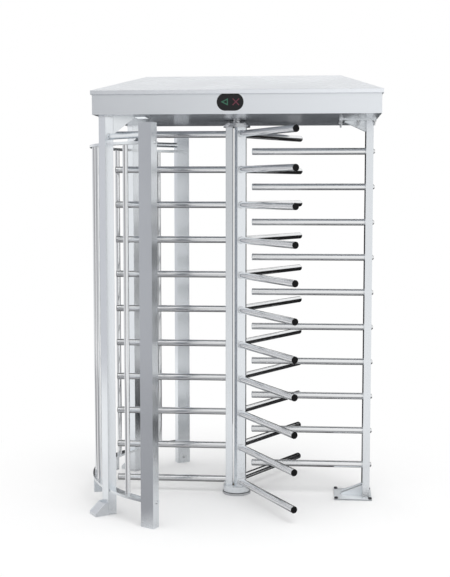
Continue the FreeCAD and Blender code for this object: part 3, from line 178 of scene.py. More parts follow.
def turn_profile(bm, profile, matrix, segments=24):
    """Revolves (radius, height) points about Z and moves the result by matrix."""
    rings = []
    for radius, height in profile:
        spots = round_points(radius, height, segments)
        if radius < 1e-7:
            spots = [Vector((0, 0, height))]
        rings.append([bm.verts.new(matrix @ spot) for spot in spots])
    for lower, upper in zip(rings, rings[1:]):
        for step in range(segments):
            corners = []
            for ring, index in ((lower, step), (lower, step + 1), (upper, step + 1),
                                (upper, step)):
                vertex = ring[index % len(ring)]
                if vertex not in corners:
                    corners.append(vertex)
            if len(corners) > 2:
                bm.faces.new(corners)


def facing(direction, place):
    """A matrix that stands +Z along a direction, with +Y up or, where that is level, away."""
    ahead = Vector(direction).normalized()
    upward = Vector((0, 1, 0)) if abs(ahead.z) > 0.99 else AXIS_UP
    across = upward.cross(ahead).normalized()
    turn = Matrix((across, ahead.cross(across), ahead)).transposed().to_4x4()
    return Matrix.Translation(Vector(place)) @ turn


def add_rod(bm, start, end, radius, segments=16, edge=0.0003):
    """Round rod between two points, with a small edge at both ends."""
    start, end = Vector(start), Vector(end)
    length = (end - start).length
    profile = [(0, 0), (radius - edge, 0), (radius, edge), (radius, length - edge),
               (radius - edge, length), (0, length)]
    turn_profile(bm, profile, facing(end - start, start), segments)


def add_hex(bm, place, direction, radius, height, bore=0.0):
    """Hexagonal nut or head with its rounded shoulders; bore leaves a hole."""
    chamfer = 0.12 * radius
    profile = [(bore, 0), (radius, 0), (radius, height - chamfer), (radius - chamfer, height),
               (bore, height)]
    turn_profile(bm, profile, facing(direction, place), 6)


def add_ring(bm, place, direction, inner, outer, height, segments=32):
    """Flat ring with small edges, such as a washer or a collar."""
    edge = min(0.0004, height / 3)
    profile = [(inner, 0), (outer - edge, 0), (outer, edge), (outer, height - edge),
               (outer - edge, height), (inner, height), (inner, 0)]
    turn_profile(bm, profile, facing(direction, place), segments)


def add_box(bm, low, high, edge):
    """Box between two corners with bevelled edges."""
    low, high = Vector(low), Vector(high)
    size = high - low
    matrix = Matrix.Translation((low + high) / 2) @ Matrix.Diagonal((*size, 1))
    made = bmesh.ops.create_cube(bm, size=1, matrix=matrix)
    edges = {line for vertex in made["verts"] for line in vertex.link_edges}
    bmesh.ops.bevel(bm, geom=list(edges), offset=min(edge, min(size) / 3), segments=2,
                    profile=0.5, affect="EDGES")


def add_bead(bm, points, radius, closed=True, sides=6, ripple=0.0, waves=0.0):
    """Round bead along a path; ripple makes it swell and shrink as a weld does."""
    count = len(points)
    rings = []
    for step, point in enumerate(points):
        before = points[step - 1] if closed or step else point
        after = points[(step + 1) % count] if closed or step < count - 1 else point
        turn = facing(after - before, point)
        swell = radius * (1 + ripple * math.sin(waves * 2 * math.pi * step / count))
        rings.append([bm.verts.new(turn @ spot) for spot in round_points(swell, 0, sides)])
    if not closed:
        bm.faces.new(rings[0])
        bm.faces.new(rings[-1])
    for first, second in closed_pairs(rings) if closed else zip(rings, rings[1:]):
        shift = best_shift(first, second)
        for side in range(sides):
            following = (side + 1) % sides
            bm.faces.new((first[side], first[following], second[(following + shift) % sides],
                          second[(side + shift) % sides]))


def best_shift(first, second):
    """How far to turn the second ring so that its corners meet the first ring's."""
    sides = len(first)
    reach = [sum((first[side].co - second[(side + shift) % sides].co).length
                 for side in range(sides)) for shift in range(sides)]
    return reach.index(min(reach))


def closed_pairs(corners):
    """Each corner with the next one, and the last with the first."""
    return zip(corners, corners[1:] + corners[:1])


def line_path(start, end, spacing):
    start, end = Vector(start), Vector(end)
    count = max(2, round((end - start).length / spacing))
    return [start.lerp(end, step / count) for step in range(count + 1)]


def curve_path(points, per_span=6):
    """Smooth curve through all points."""
    points = [Vector(point) for point in points]
    ends = [2 * points[0] - points[1], *points, 2 * points[-1] - points[-2]]
    path = []
    for first, start, end, last in zip(ends, ends[1:], ends[2:], ends[3:]):
        for step in range(per_span):
            share = step / per_span
            path.append(0.5 * (2 * start + (end - first) * share
                               + (2 * first - 5 * start + 4 * end - last) * share ** 2
                               + (3 * start - first - 3 * end + last) * share ** 3))
    return path + [points[-1]]


def soften(node, width):
    """Rounds the edges of a CAD node with modifiers; its own mesh stays as it is."""
    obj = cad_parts[node]
    weld = obj.modifiers.new("weld", "WELD")
    weld.merge_threshold = 0.00002
    flat = obj.modifiers.new("flat", "DECIMATE")
    flat.decimate_type = "DISSOLVE"
    flat.angle_limit = math.radians(0.6)
    bevel = obj.modifiers.new("bevel", "BEVEL")
    bevel.width = width
    bevel.segments = 2
    bevel.limit_method = "ANGLE"
    bevel.angle_limit = math.radians(38)
    obj.data.polygons.foreach_set("use_smooth", [True] * len(obj.data.polygons))
    normals = obj.modifiers.new("normals", "WEIGHTED_NORMAL")
    normals.mode = "FACE_AREA"
    normals.weight = 100


# Shader helpers.


def set_inputs(tree, node, inputs):
    """Gives a node its inputs: a socket is linked, anything else is set as a value."""
    for key, given in inputs.items():
        if isinstance(given, bpy.types.NodeSocket):
            tree.links.new(given, node.inputs[key])
        else:
            node.inputs[key].default_value = given


def shader_node(tree, kind, inputs=None, **settings):
    node = tree.nodes.new("ShaderNode" + kind)
    for name, setting in settings.items():
        setattr(node, name, setting)
    set_inputs(tree, node, inputs or {})
    return node


def math_node(tree, operation, first, second=None, clamp=False):
    inputs = {0: first} if second is None else {0: first, 1: second}
    return shader_node(tree, "Math", inputs, operation=operation, use_clamp=clamp).outputs[0]


def noise(tree, vector, scale, detail, **inputs):
    inputs.update(Vector=vector, Scale=scale, Detail=detail)
    return shader_node(tree, "TexNoise", inputs).outputs["Fac"]


def split(tree, vector):
    return shader_node(tree, "SeparateXYZ", {0: vector}).outputs


def bump(tree, height, strength):
    inputs = {"Height": height, "Strength": strength, "Distance": 0.0002}
    return shader_node(tree, "Bump", inputs).outputs["Normal"]


def mix_shaders(tree, share, first, second, end):
    """Shows two shaders on a surface; share is how much of it is the second."""
    mix = shader_node(tree, "MixShader", {0: share, 1: first.outputs[0], 2: second.outputs[0]})
    set_inputs(tree, end, {"Surface": mix.outputs[0]})


# Shader groups: each gives values and colours that change over the surface.


def new_group(label, inputs, outputs):
    """A group and the sockets at its start and end; the labels say the sockets' kinds."""
    tree = bpy.data.node_groups.new(label, "ShaderNodeTree")
    for side, labels in (("INPUT", inputs), ("OUTPUT", outputs)):
        for name in labels:
            kind = "NodeSocketFloat"
            if name in ("Vector", "Stretch", "Normal"):
                kind = "NodeSocketVector"
            elif name.endswith("Colour"):
                kind = "NodeSocketColor"
            socket = tree.interface.new_socket(name=name, in_out=side, socket_type=kind)
            if side == "INPUT" and inputs[name] is not None:
                socket.default_value = inputs[name]
    entry = tree.nodes.new("NodeGroupInput")
    return tree, entry.outputs, tree.nodes.new("NodeGroupOutput")


def vary_surface(tree, given, end, change, height):
    """Ends a group: a value that swings about 0 changes its colour and its roughness."""
    tone = math_node(tree, "MULTIPLY", change, given["Tone Spread"])
    level = math_node(tree, "ADD", tone, 1.0)
    shade = shader_node(tree, "VectorMath", {0: given["Colour"], "Scale": level},
                        operation="SCALE")
    spread = math_node(tree, "MULTIPLY", change, given["Roughness Spread"])
    rough = math_node(tree, "ADD", given["Roughness"], spread, clamp=True)
    set_inputs(tree, end, {"Colour": shade.outputs[0], "Roughness": rough, "Height": height})


def grain_group(label):
    """Fine lines of a brushed or polished surface, with slow patches under them."""
    tree, given, end = new_group(
        label,
        {"Vector": None, "Stretch": (900.0, 900.0, 6.0), "Colour": (0.7, 0.7, 0.72, 1.0),
         "Tone Spread": 0.06, "Roughness": 0.3, "Roughness Spread": 0.1, "Patch Scale": 3.0},
        ("Colour", "Roughness", "Height"))
    stretched = shader_node(tree, "VectorMath", {0: given["Vector"], 1: given["Stretch"]},
                            operation="MULTIPLY").outputs[0]
    lines = noise(tree, stretched, 1.0, 4.0, Roughness=0.65)
    patches = noise(tree, given["Vector"], given["Patch Scale"], 3.0)
    change = math_node(tree, "ADD", math_node(tree, "SUBTRACT", lines, 0.5),
                       math_node(tree, "SUBTRACT", patches, 0.5))
    vary_surface(tree, given, end, change, lines)


def speckle_group(label):
    """Fine pebbled texture of moulded plastic, castings and powder coat."""
    tree, given, end = new_group(
        label,
        {"Vector": None, "Scale": 900.0, "Colour": (0.1, 0.1, 0.1, 1.0), "Tone Spread": 0.2,
         "Roughness": 0.5, "Roughness Spread": 0.15},
        ("Colour", "Roughness", "Height"))
    pebbles = shader_node(tree, "TexVoronoi", {"Vector": given["Vector"],
                                               "Scale": given["Scale"]})
    patches = noise(tree, given["Vector"], 14.0, 4.0)
    vary_surface(tree, given, end, math_node(tree, "SUBTRACT", patches, 0.5),
                 pebbles.outputs["Distance"])


def dust_group(label):
    """Pale dust that settles close to the floor."""
    tree, given, end = new_group(
        label,
        {"Vector": None, "Colour": (0.7, 0.7, 0.7, 1.0), "Dust Colour": (0.42, 0.40, 0.37, 1.0),
         "Roughness": 0.3, "Reach": 0.12, "Amount": 0.1},
        ("Colour", "Roughness"))
    ratio = math_node(tree, "DIVIDE", split(tree, given["Vector"])["Z"], given["Reach"])
    low = math_node(tree, "SUBTRACT", 1.0, ratio, clamp=True)
    patch = math_node(tree, "MULTIPLY", low, noise(tree, given["Vector"], 60.0, 6.0))
    mask = math_node(tree, "MULTIPLY", patch, given["Amount"], clamp=True)
    mix = shader_node(tree, "Mix", {"Factor": mask, "A": given["Colour"],
                                    "B": given["Dust Colour"]}, data_type="RGBA")
    rough = math_node(tree, "ADD", given["Roughness"], mask, clamp=True)
    set_inputs(tree, end, {"Colour": mix.outputs["Result"], "Roughness": rough})


def flat_faces_group(label):
    """Finds the faces that lie flat and takes part of their metal away, so that they show
    lighter: painted light on the tops.
    """
    tree, given, end = new_group(label, {"Normal": None, "Amount": 0.6}, ("Metallic",))
    above = math_node(tree, "SUBTRACT", split(tree, given["Normal"])["Z"], 0.9)
    mask = math_node(tree, "MULTIPLY", above, 12.0, clamp=True)
    share = math_node(tree, "MULTIPLY", mask, given["Amount"])
    set_inputs(tree, end, {"Metallic": math_node(tree, "SUBTRACT", 1.0, share)})


SHARED = {"grain": grain_group, "dust": dust_group, "speckle": speckle_group,
          "flat_faces": flat_faces_group}


def add_group(tree, name, **inputs):
    """Uses a shared group, which is built at its first use."""
    label = "turnstile_" + name
    if label not in bpy.data.node_groups:
        SHARED[name](label)
    inputs = {key.replace("_", " ").title(): given for key, given in inputs.items()}
    return shader_node(tree, "Group", inputs, node_tree=bpy.data.node_groups[label]).outputs


# Finishes: each entry is (kind, settings), and kind says which groups the material uses.


def steel(colour, rough, stretch, **more):
    return "steel", dict(colour=colour, rough=rough, stretch=stretch, **more)


def tube(along):
    return "tube", dict(colour=(0.82, 0.83, 0.84), rough=0.12, along=along)


def moulded(colour, rough, **more):
    return "moulded", dict(colour=colour, rough=rough, **more)


def lit(colour, glow):
    return "lit", dict(colour=colour, glow=glow)


# How often the grain changes in a metre along X, Y and Z.
ACROSS_Z = (900.0, 900.0, 5.0)
ACROSS_X = (5.0, 900.0, 900.0)
RINGS = (1400.0, 1400.0, 1400.0)
TUBE_RINGS = (1600.0, 3.0, 3.0)
TUBE_GRAIN = 0.12
GRAIN_SPREAD = 0.12
GRAIN_BUMP = 0.12
SPECKLE_BUMP = 0.25

FINISHES = {
    "satin_post": steel((0.795, 0.825, 0.855), 0.22, ACROSS_Z),
    "satin_plate": steel((0.795, 0.825, 0.85), 0.26, ACROSS_X),
    "wing_tube": tube("radius"),
    "comb_tube": tube("x"),
    "guard_tube": tube("z"),
    "canopy_sheet": steel((0.805, 0.835, 0.87), 0.32, ACROSS_X, metallic=0.85),
    # Canopy steel made lighter for the roof: painted light on the top.
    "roof_painted_light": steel((0.88, 0.91, 0.95), 0.28, ACROSS_X, metallic=0.9),
    # Canopy steel darkened for the underside: painted shade under the canopy.
    "soffit_sheet": steel((0.43, 0.46, 0.50), 0.2, ACROSS_X, metallic=0.4),
    # Paler steel whose flat tops lose metal and show lighter: painted light on the tops of the
    # foot plates.
    "foot_plate": steel((0.91, 0.945, 0.975), 0.3, ACROSS_X, dulled=0.8),
    "machined": steel((0.60, 0.61, 0.63), 0.25, RINGS),
    "zinc": steel((0.78, 0.79, 0.80), 0.3, RINGS),
    # Dark zinc for the floor anchors and their nuts; on the comb bolts' sockets it is painted
    # shade in the holes.
    "dark_zinc_and_socket_shade": steel((0.10, 0.10, 0.11), 0.4, RINGS),
    "weld": steel((0.62, 0.63, 0.64), 0.4, RINGS, metallic=0.5),
    "bronze": steel((0.62, 0.45, 0.22), 0.3, RINGS),
    "primer": moulded((0.22, 0.23, 0.25), 0.6),
    "casting": moulded((0.30, 0.31, 0.32), 0.55, metallic=0.8),
    "motor_paint": moulded((0.09, 0.13, 0.18), 0.4),
    "pulley_metal": steel((0.66, 0.67, 0.68), 0.3, RINGS),
    "belt_rubber": moulded((0.02, 0.02, 0.02), 0.75),
    "dark_plastic": moulded((0.006, 0.006, 0.0065), 0.5, shine=0.1),
    "board_green": moulded((0.02, 0.16, 0.06), 0.35),
    "supply_case": steel((0.55, 0.56, 0.57), 0.4, ACROSS_X),
    "window_black": moulded((0.008, 0.008, 0.009), 0.18, coat=0.2, shine=0.2),
    "signal_green": lit((0.016, 0.075, 0.045), 0.3),
    "signal_red": lit((0.075, 0.012, 0.024), 0.3),
    "lamp_opal": lit((0.92, 0.95, 0.98), 0.35),
}

NODE_FINISHES = {
    "satin_post": ["column_uprights", "guard_outer_posts", "guard_inner_posts", "comb_post",
                   "post_sockets"],
    "satin_plate": ["guard_post_caps", "guard_bottom_rail", "guard_top_rail", "rail_lugs",
                    "guard_feet", "guard_head_brackets", "comb_head_bracket",
                    "comb_end_caps", "guard_braces", "guard_bolts"],
    "foot_plate": ["comb_foot", "rotor_bottom_flange"],
    "wing_tube": ["wing_bars_1", "wing_bars_2", "wing_bars_3"],
    "comb_tube": ["comb_bars"],
    "guard_tube": ["guard_tubes"],
    "canopy_sheet": ["canopy_skirt"],
    "roof_painted_light": ["roof_panel"],
    "soffit_sheet": ["canopy_soffit"],
    "machined": ["rotor_top_flange", "rotor_shaft", "lock_disc", "pawl_front", "pawl_rear",
                 "pawl_pins", "motor_shaft", "plunger_front", "plunger_rear",
                 "comb_bar_inserts", "floor_base"],
    "zinc": ["comb_bolts", "head_bolts", "rotor_flange_bolts", "pawl_springs"],
    "dark_zinc_and_socket_shade": ["floor_anchors"],
    "bronze": ["bottom_bearing", "top_bearing"],
    "primer": ["head_beams", "backing_plates", "drive_plate"],
    "casting": ["top_bearing_housing"],
    "motor_paint": ["motor_gearbox"],
    "pulley_metal": ["rotor_pulley", "motor_pulley"],
    "belt_rubber": ["drive_belt"],
    "dark_plastic": ["wing_end_plugs", "indicator_housings", "lock_solenoids"],
    "board_green": ["control_board"],
    "supply_case": ["power_supply"],
    "window_black": ["indicator_windows"],
    "signal_green": ["indicator_arrows"],
    "signal_red": ["indicator_crosses"],
    "lamp_opal": ["soffit_lamp"],
}

# Slot and finish of the pieces that are added to the CAD nodes.

WELD = ("satin_steel", "weld")
ZINC = ("fastener_steel", "zinc")
DARK_ZINC_AND_SOCKET_SHADE = ("fastener_steel", "dark_zinc_and_socket_shade")
PLASTIC = ("dark_plastic", "dark_plastic")
PULLEY = ("pulley_metal", "pulley_metal")


def along_vector(tree, place, along):
    """Coordinates that only change along a tube, so the grain makes rings round it."""
    spot = split(tree, place)
    if along == "radius":
        across = math_node(tree, "MULTIPLY", spot["X"], spot["X"])
        deep = math_node(tree, "MULTIPLY", spot["Y"], spot["Y"])
        distance = math_node(tree, "SQRT", math_node(tree, "ADD", across, deep))
    else:
        distance = spot[along.upper()]
    other = spot["Y" if along == "z" else "Z"]
    return shader_node(tree, "CombineXYZ", {"X": distance, "Y": other}).outputs[0]


def new_material(name):
    made = bpy.data.materials.new(name)
    made.use_nodes = True
    return made, made.node_tree


def material(finish):
    """The material of a finish, made when it is first asked for."""
    name = "look_" + finish
    if name in bpy.data.materials:
        return bpy.data.materials[name]
    kind, given = FINISHES[finish]
    colour = (*given["colour"], 1.0)
    made, tree = new_material(name)
    spots = tree.nodes.new("ShaderNodeTexCoord").outputs
    place = spots["Object"]
    if kind in ("steel", "tube"):
        vector, stretch, share = place, given.get("stretch", TUBE_RINGS), 1.0
        if kind == "tube":
            vector, share = along_vector(tree, place, given["along"]), TUBE_GRAIN
        grain = add_group(tree, "grain", vector=vector, stretch=stretch, colour=colour,
                          roughness=given["rough"], roughness_spread=GRAIN_SPREAD * share,
                          tone_spread=0.05)
        dust = add_group(tree, "dust", vector=place, colour=grain["Colour"],
                         roughness=grain["Roughness"])
        inputs = {"Base Color": dust["Colour"], "Roughness": dust["Roughness"],
                  "Metallic": given.get("metallic", 1.0),
                  "Normal": bump(tree, grain["Height"], GRAIN_BUMP * share)}
        # Flat tops lose metal and show lighter: painted light.
        if "dulled" in given:
            flat = add_group(tree, "flat_faces", normal=spots["Normal"], amount=given["dulled"])
            inputs["Metallic"] = flat["Metallic"]
    else:
        speckle = add_group(tree, "speckle", vector=place, colour=colour,
                            roughness=given.get("rough", 0.3))
        inputs = {"Base Color": speckle["Colour"], "Roughness": speckle["Roughness"],
                  "Metallic": given.get("metallic", 0.0)}
        if kind == "lit":
            inputs.update({"Emission Color": speckle["Colour"],
                           "Emission Strength": given["glow"]})
        else:
            inputs.update({"Coat Weight": given.get("coat", 0.0),
                           "Specular IOR Level": given.get("shine", 0.5),
                           "Normal": bump(tree, speckle["Height"], SPECKLE_BUMP)})
    set_inputs(tree, tree.nodes["Principled BSDF"], inputs)
    return made


# Studio.

# The camera's place in metres, its turns in degrees and its lens in millimetres.
CAMERA_PLACE = (0.466742, -6.360146, 1.770)
CAMERA_TURNS = (90 - 5.119, 0, 4.806)
CAMERA_LENS = 69.32

FLOOR_HALF = 14
FLOOR_FADE = (0.35, 2.1)
FLOOR_DROP = 0.0005

KEY_PLACE = (1.6, -3.2, 5.2)
KEY_TARGET = (0, 0, 0.8)
KEY_SIZE = 3.0

# Cards around the object: name, centre, direction that it faces, width, height, grey, the share
# of its half size over which each edge fades out, and the share that is left of it where it is
# seen at a shallow angle.
CARDS = (
    ("back_card", (3.6, 1.9, 0.65), (0, -1, 0), 10.2, 1.7, 0.015, 0.12, 1.0),
    ("far_back_card", (4.5, 5.0, 1.6), (0, -1, 0), 15.0, 3.1, 0.015, 0.12, 1.0),
    ("ceiling_card", (0.5, 1.3, 4.6), (0, 0, -1), 9.0, 4.0, 0.06, 0.2, 1.0),
    ("rear_floor_card", (0.9, 1.35, 0.001), (0, 0, 1), 5.6, 3.2, 0.03, 0.2, 0.15),
    ("right_floor_card", (1.97, 1.3, 0.0015), (0, 0, 1), 3.5, 3.3, 0.03, 0.2, 1.0),
    ("front_floor_card", (0.4, -0.9, 0.002), (0, 0, 1), 4.6, 1.8, 0.3, 0.5, 0.15),
    ("left_card", (-4.2, -4.2, 2.2), (1, 0, 0), 6.4, 5.0, 0.49, 0.2, 1.0),
    ("rear_left_card", (-4.4, 2.4, 1.6), (1, 0, 0), 4.6, 4.4, 0.68, 0.25, 1.0),
    ("left_floor_card", (-3.0, -2.6, 0.001), (0, 0, 1), 5.2, 4.2, 0.4, 0.12, 1.0),
    ("front_left_card", (-3.0, -7.2, 2.0), (0, 1, 0), 8.0, 7.0, 0.24, 0.9, 1.0),
)
# The cards' blue as a share of their grey, the facing value at which a card has faded out and
# how fast it fades before that.
CARD_BLUE = 1.04
CARD_SHALLOW = 0.75
CARD_SLOPE = 4.0


def seen_ray(tree):
    """1 for camera, glossy and transmission rays, which see the background."""
    path = tree.nodes.new("ShaderNodeLightPath").outputs
    first = math_node(tree, "MAXIMUM", path["Is Camera Ray"], path["Is Glossy Ray"])
    return math_node(tree, "MAXIMUM", first, path["Is Transmission Ray"])


def make_world(light):
    world = bpy.data.worlds.new("studio")
    bpy.context.scene.world = world
    world.use_nodes = True
    tree = world.node_tree
    tree.nodes.clear()
    plain = shader_node(tree, "Background", {"Strength": light})
    white = shader_node(tree, "Background", {"Color": (1, 1, 1, 1)})
    mix_shaders(tree, seen_ray(tree), plain, white, tree.nodes.new("ShaderNodeOutputWorld"))


def make_floor(colour):
    """Floor that fades into the white background away from the object."""
    def build(bm):
        bmesh.ops.create_grid(bm, x_segments=8, y_segments=8, size=FLOOR_HALF)

    floor = link_new("floor", mesh_from(build))
    floor.location.z = -FLOOR_DROP
    made, tree = new_material("floor_paper")
    shader = tree.nodes["Principled BSDF"]
    set_inputs(tree, shader, {"Base Color": (*colour, 1), "Roughness": 0.9,
                              "Specular IOR Level": 0.1})
    white = shader_node(tree, "Emission", {"Strength": 1.0})
    place = tree.nodes.new("ShaderNodeTexCoord").outputs["Object"]
    length = shader_node(tree, "VectorMath", {0: place}, operation="LENGTH")
    fade = shader_node(tree, "MapRange",
                       {"Value": length.outputs["Value"], "From Min": FLOOR_FADE[0],
                        "From Max": FLOOR_FADE[1]}, interpolation_type="SMOOTHSTEP")
    share = math_node(tree, "MULTIPLY", fade.outputs["Result"], seen_ray(tree))
    mix_shaders(tree, share, shader, white, tree.nodes["Material Output"])
    floor.data.materials.append(made)


def make_card(name, centre, direction, width, height, grey, edge, shallow):
    """Grey card that only reflections see, with edges that fade out."""
    def build(bm):
        bmesh.ops.create_grid(bm, x_segments=1, y_segments=1, size=1)

    card = link_new(name, mesh_from(build))
    card.matrix_world = facing(direction, centre)
    card.scale = (width / 2, height / 2, 1)
    card.visible_camera = False
    card.visible_diffuse = False
    card.visible_shadow = False
    card.visible_transmission = False
    made, tree = new_material(name)
    tree.nodes.clear()
    spot = split(tree, tree.nodes.new("ShaderNodeTexCoord").outputs["Object"])
    sides = []
    for axis in ("X", "Y"):
        distance = math_node(tree, "ABSOLUTE", spot[axis])
        inner = math_node(tree, "SUBTRACT", 1.0, distance)
        sides.append(math_node(tree, "DIVIDE", inner, edge, clamp=True))
    facing_away = tree.nodes.new("ShaderNodeLayerWeight").outputs["Facing"]
    steep = math_node(tree, "SUBTRACT", CARD_SHALLOW, facing_away)
    steep = math_node(tree, "MULTIPLY", steep, CARD_SLOPE, clamp=True)
    left = math_node(tree, "MAXIMUM", steep, shallow)
    mask = math_node(tree, "MULTIPLY", math_node(tree, "MULTIPLY", *sides), left)
    clear = shader_node(tree, "BsdfTransparent")
    tone = shader_node(tree, "Emission", {"Color": (grey, grey, grey * CARD_BLUE, 1)})
    mix_shaders(tree, mask, clear, tone, tree.nodes.new("ShaderNodeOutputMaterial"))
    card.data.materials.append(made)


def make_lamp(power):
    """Large lamp over the object, which reflections don't see."""
    data = bpy.data.lights.new("key_lamp", "AREA")
    data.shape = "RECTANGLE"
    data.size = KEY_SIZE
    data.size_y = KEY_SIZE
    data.energy = power
    lamp = link_new("key_lamp", data)
    aim = (Vector(KEY_TARGET) - Vector(KEY_PLACE)).to_track_quat("-Z", "Y")
    lamp.matrix_world = Matrix.Translation(Vector(KEY_PLACE)) @ aim.to_matrix().to_4x4()
    lamp.visible_glossy = False


def make_camera():
    data = bpy.data.cameras.new("camera")
    data.sensor_width = 36.0
    data.lens = CAMERA_LENS
    camera = link_new("camera", data)
    camera.location = CAMERA_PLACE
    camera.rotation_euler = [math.radians(turn) for turn in CAMERA_TURNS]
    data.clip_end = 100
    bpy.context.scene.camera = camera


# Settings that a user would change, and the operators that use them.


class StudioSettings(bpy.types.PropertyGroup):
    fill_light: bpy.props.FloatProperty(
        name="Fill light", description="Strength of the even light from all sides",
        default=1.2, min=0, max=2)
    key_power: bpy.props.FloatProperty(
        name="Key power", description="Power of the large lamp over the object",
        default=90, min=0, max=1000, unit="POWER")
    floor_colour: bpy.props.FloatVectorProperty(
        name="Floor colour", description="Colour of the floor", subtype="COLOR", size=3,
        default=(0.97, 0.97, 0.97), min=0, max=1)


class StageOperator(bpy.types.Operator):
    """Makes the camera, the lamp, the cards and the floor"""
    bl_idname = "turnstile.stage"
    bl_label = "Studio"

    def execute(self, context):
        settings = context.scene.turnstile_studio
        make_camera()
        make_world(settings.fill_light)
        make_floor(settings.floor_colour)
        make_lamp(settings.key_power)
        for card in CARDS:
            make_card(*card)
        context.scene.view_settings.view_transform = "Standard"
        return {"FINISHED"}


class SteelSettings(bpy.types.PropertyGroup):
    edge_radius: bpy.props.FloatProperty(
        name="Edge radius", description="Rounding of the posts' and plates' edges",
        default=0.0025, min=0, max=0.006, unit="LENGTH")


FULL_EDGES = ("column_uprights", "guard_outer_posts", "guard_inner_posts", "comb_post",
              "rotor_bottom_flange")
FINE_EDGES = ("roof_panel", "canopy_skirt", "comb_foot", "comb_head_bracket", "guard_feet",
              "guard_head_brackets", "guard_bottom_rail", "guard_top_rail", "rail_lugs")
FINE_SHARE = 0.4


class FinishOperator(bpy.types.Operator):
    """Gives every CAD node its finish and rounds the edges of posts and plates"""
    bl_idname = "turnstile.finishes"
    bl_label = "Finishes"

    def execute(self, context):
        bare = set(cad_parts)
        for finish, names in NODE_FINISHES.items():
            for name in names:
                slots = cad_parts[name].data.materials
                slots.clear()
                slots.append(material(finish))
                bare.discard(name)
        if bare:
            raise RuntimeError("nodes without a finish: %s" % sorted(bare))
        radius = context.scene.turnstile_steel.edge_radius
        for names, width in ((FULL_EDGES, radius), (FINE_EDGES, radius * FINE_SHARE)):
            for name in names:
                soften(name, width)
        return {"FINISHED"}


class WeldSettings(bpy.types.PropertyGroup):
    bead: bpy.props.FloatProperty(
        name="Weld bead", description="Radius of the weld beads", default=0.0013, min=0.0005,
        max=0.005, unit="LENGTH")
    ripple: bpy.props.FloatProperty(
        name="Weld ripple", description="How much a bead swells and shrinks", default=0.16,
        min=0, max=0.5, subtype="FACTOR")


def weld_ring(bm, place, direction, radius, settings):
    """Bead round a tube."""
    turn = facing(direction, place)
    path = [turn @ spot for spot in round_points(radius + settings.bead * 0.3, 0, 72)]
    add_bead(bm, path, settings.bead, sides=5, ripple=settings.ripple, waves=24)


def weld_line(bm, start, end, settings):
    path = line_path(start, end, 0.0015)
    add_bead(bm, path, settings.bead, closed=False, sides=5, ripple=settings.ripple,
             waves=len(path) / 3)


def weld_loop(bm, corners, settings):
    """Beads along the straight lines between corners."""
    for start, end in closed_pairs(corners):
        weld_line(bm, start, end, settings)


def bar_welds(bm, settings):
    for angle in WING_ANGLES:
        for level in WING_LEVELS:
            weld_ring(bm, turned((COLUMN_RADIUS, 0, level), angle), turned((1, 0, 0), angle),
                      BAR_RADIUS, settings)


def column_welds(bm, settings):
    depth, width = UPRIGHT
    for angle in WING_ANGLES:
        for level in COLUMN_ENDS:
            corners = rectangle(COLUMN_RADIUS, COLUMN_RADIUS - depth, width / 2, level)
            weld_loop(bm, [turned(corner, angle) for corner in corners], settings)


class RotorWeldOperator(bpy.types.Operator):
    """Makes the weld beads of the wing bars and of the column's uprights"""
    bl_idname = "turnstile.rotor_welds"
    bl_label = "Rotor welds"

    def execute(self, context):
        settings = context.scene.turnstile_welds
        piece("wing_bar_welds", bar_welds, "rotor", WELD, settings)
        piece("column_welds", column_welds, "rotor", WELD, settings)
        return {"FINISHED"}


def tube_welds(bm, settings):
    for side in SIDES:
        for angle in GUARD_TUBE_ANGLES:
            for level in RAIL_FACES:
                weld_ring(bm, guard_spot(RAIL_MIDDLE, 0, level, angle, side), AXIS_UP,
                          GUARD_TUBE_RADIUS, settings)


def brace_welds(bm, settings):
    radius, level = BRACE
    middle = sum(GUARD_POST) / 2
    half = GUARD_POST_WIDTH / 2
    for side in SIDES:
        for angle, along in ((GUARD_INNER_ANGLE, half), (GUARD_OUTER_ANGLE, -half)):
            spot = side_spot(middle, along, level, angle, side)
            weld_ring(bm, *spot, radius, settings)


def post_welds(bm, settings):
    for side in SIDES:
        for level in GUARD_PLATES:
            weld_loop(bm, post_corners(level, GUARD_INNER_ANGLE, side), settings)


def comb_welds(bm, settings):
    face, back = COMB_POST
    for level in COMB_PLATES:
        weld_loop(bm, rectangle(face, back, COMB_POST_WIDTH / 2, level), settings)
    low, high = COMB_PLATES
    for y in (-COMB_GUSSET_HALF, COMB_GUSSET_HALF):
        for start, end in (((COMB_GUSSET_START, low), (face, low)),
                           ((COMB_GUSSET_START, high), (face, high)),
                           ((face, low), (face, low + COMB_GUSSET_HEIGHT)),
                           ((face, high - COMB_GUSSET_HEIGHT), (face, high))):
            weld_line(bm, (start[0], y, start[1]), (end[0], y, end[1]), settings)


class FrameWeldOperator(bpy.types.Operator):
    """Makes the weld beads of the guard and of the comb post"""
    bl_idname = "turnstile.frame_welds"
    bl_label = "Frame welds"

    def execute(self, context):
        settings = context.scene.turnstile_welds
        for name, build in (("guard_tube_welds", tube_welds), ("brace_welds", brace_welds),
                            ("guard_post_welds", post_welds), ("comb_post_welds", comb_welds)):
            piece(name, build, "frame", WELD, settings)
        return {"FINISHED"}


class FastenerSettings(bpy.types.PropertyGroup):
    washer: bpy.props.FloatProperty(
        name="Washer", description="Thickness of the washers", default=0.0015, min=0.0005,
        max=0.003, unit="LENGTH")
    socket: bpy.props.FloatProperty(
        name="Hex socket", description="Size of the sockets, as a share of the bolt's radius",
        default=0.62, min=0.3, max=0.9, subtype="FACTOR")
    thread_pitch: bpy.props.FloatProperty(
        name="Thread pitch", description="Distance between two threads", default=0.0015,
        min=0.0005, max=0.003, unit="LENGTH")


def add_socket(bm, place, direction, radius):
    """Shallow rim with a hexagonal middle on the flat of a bolt head."""
    add_ring(bm, place, direction, radius, radius * 1.22, 0.0004, 24)
    add_hex(bm, place, direction, radius, 0.0002)


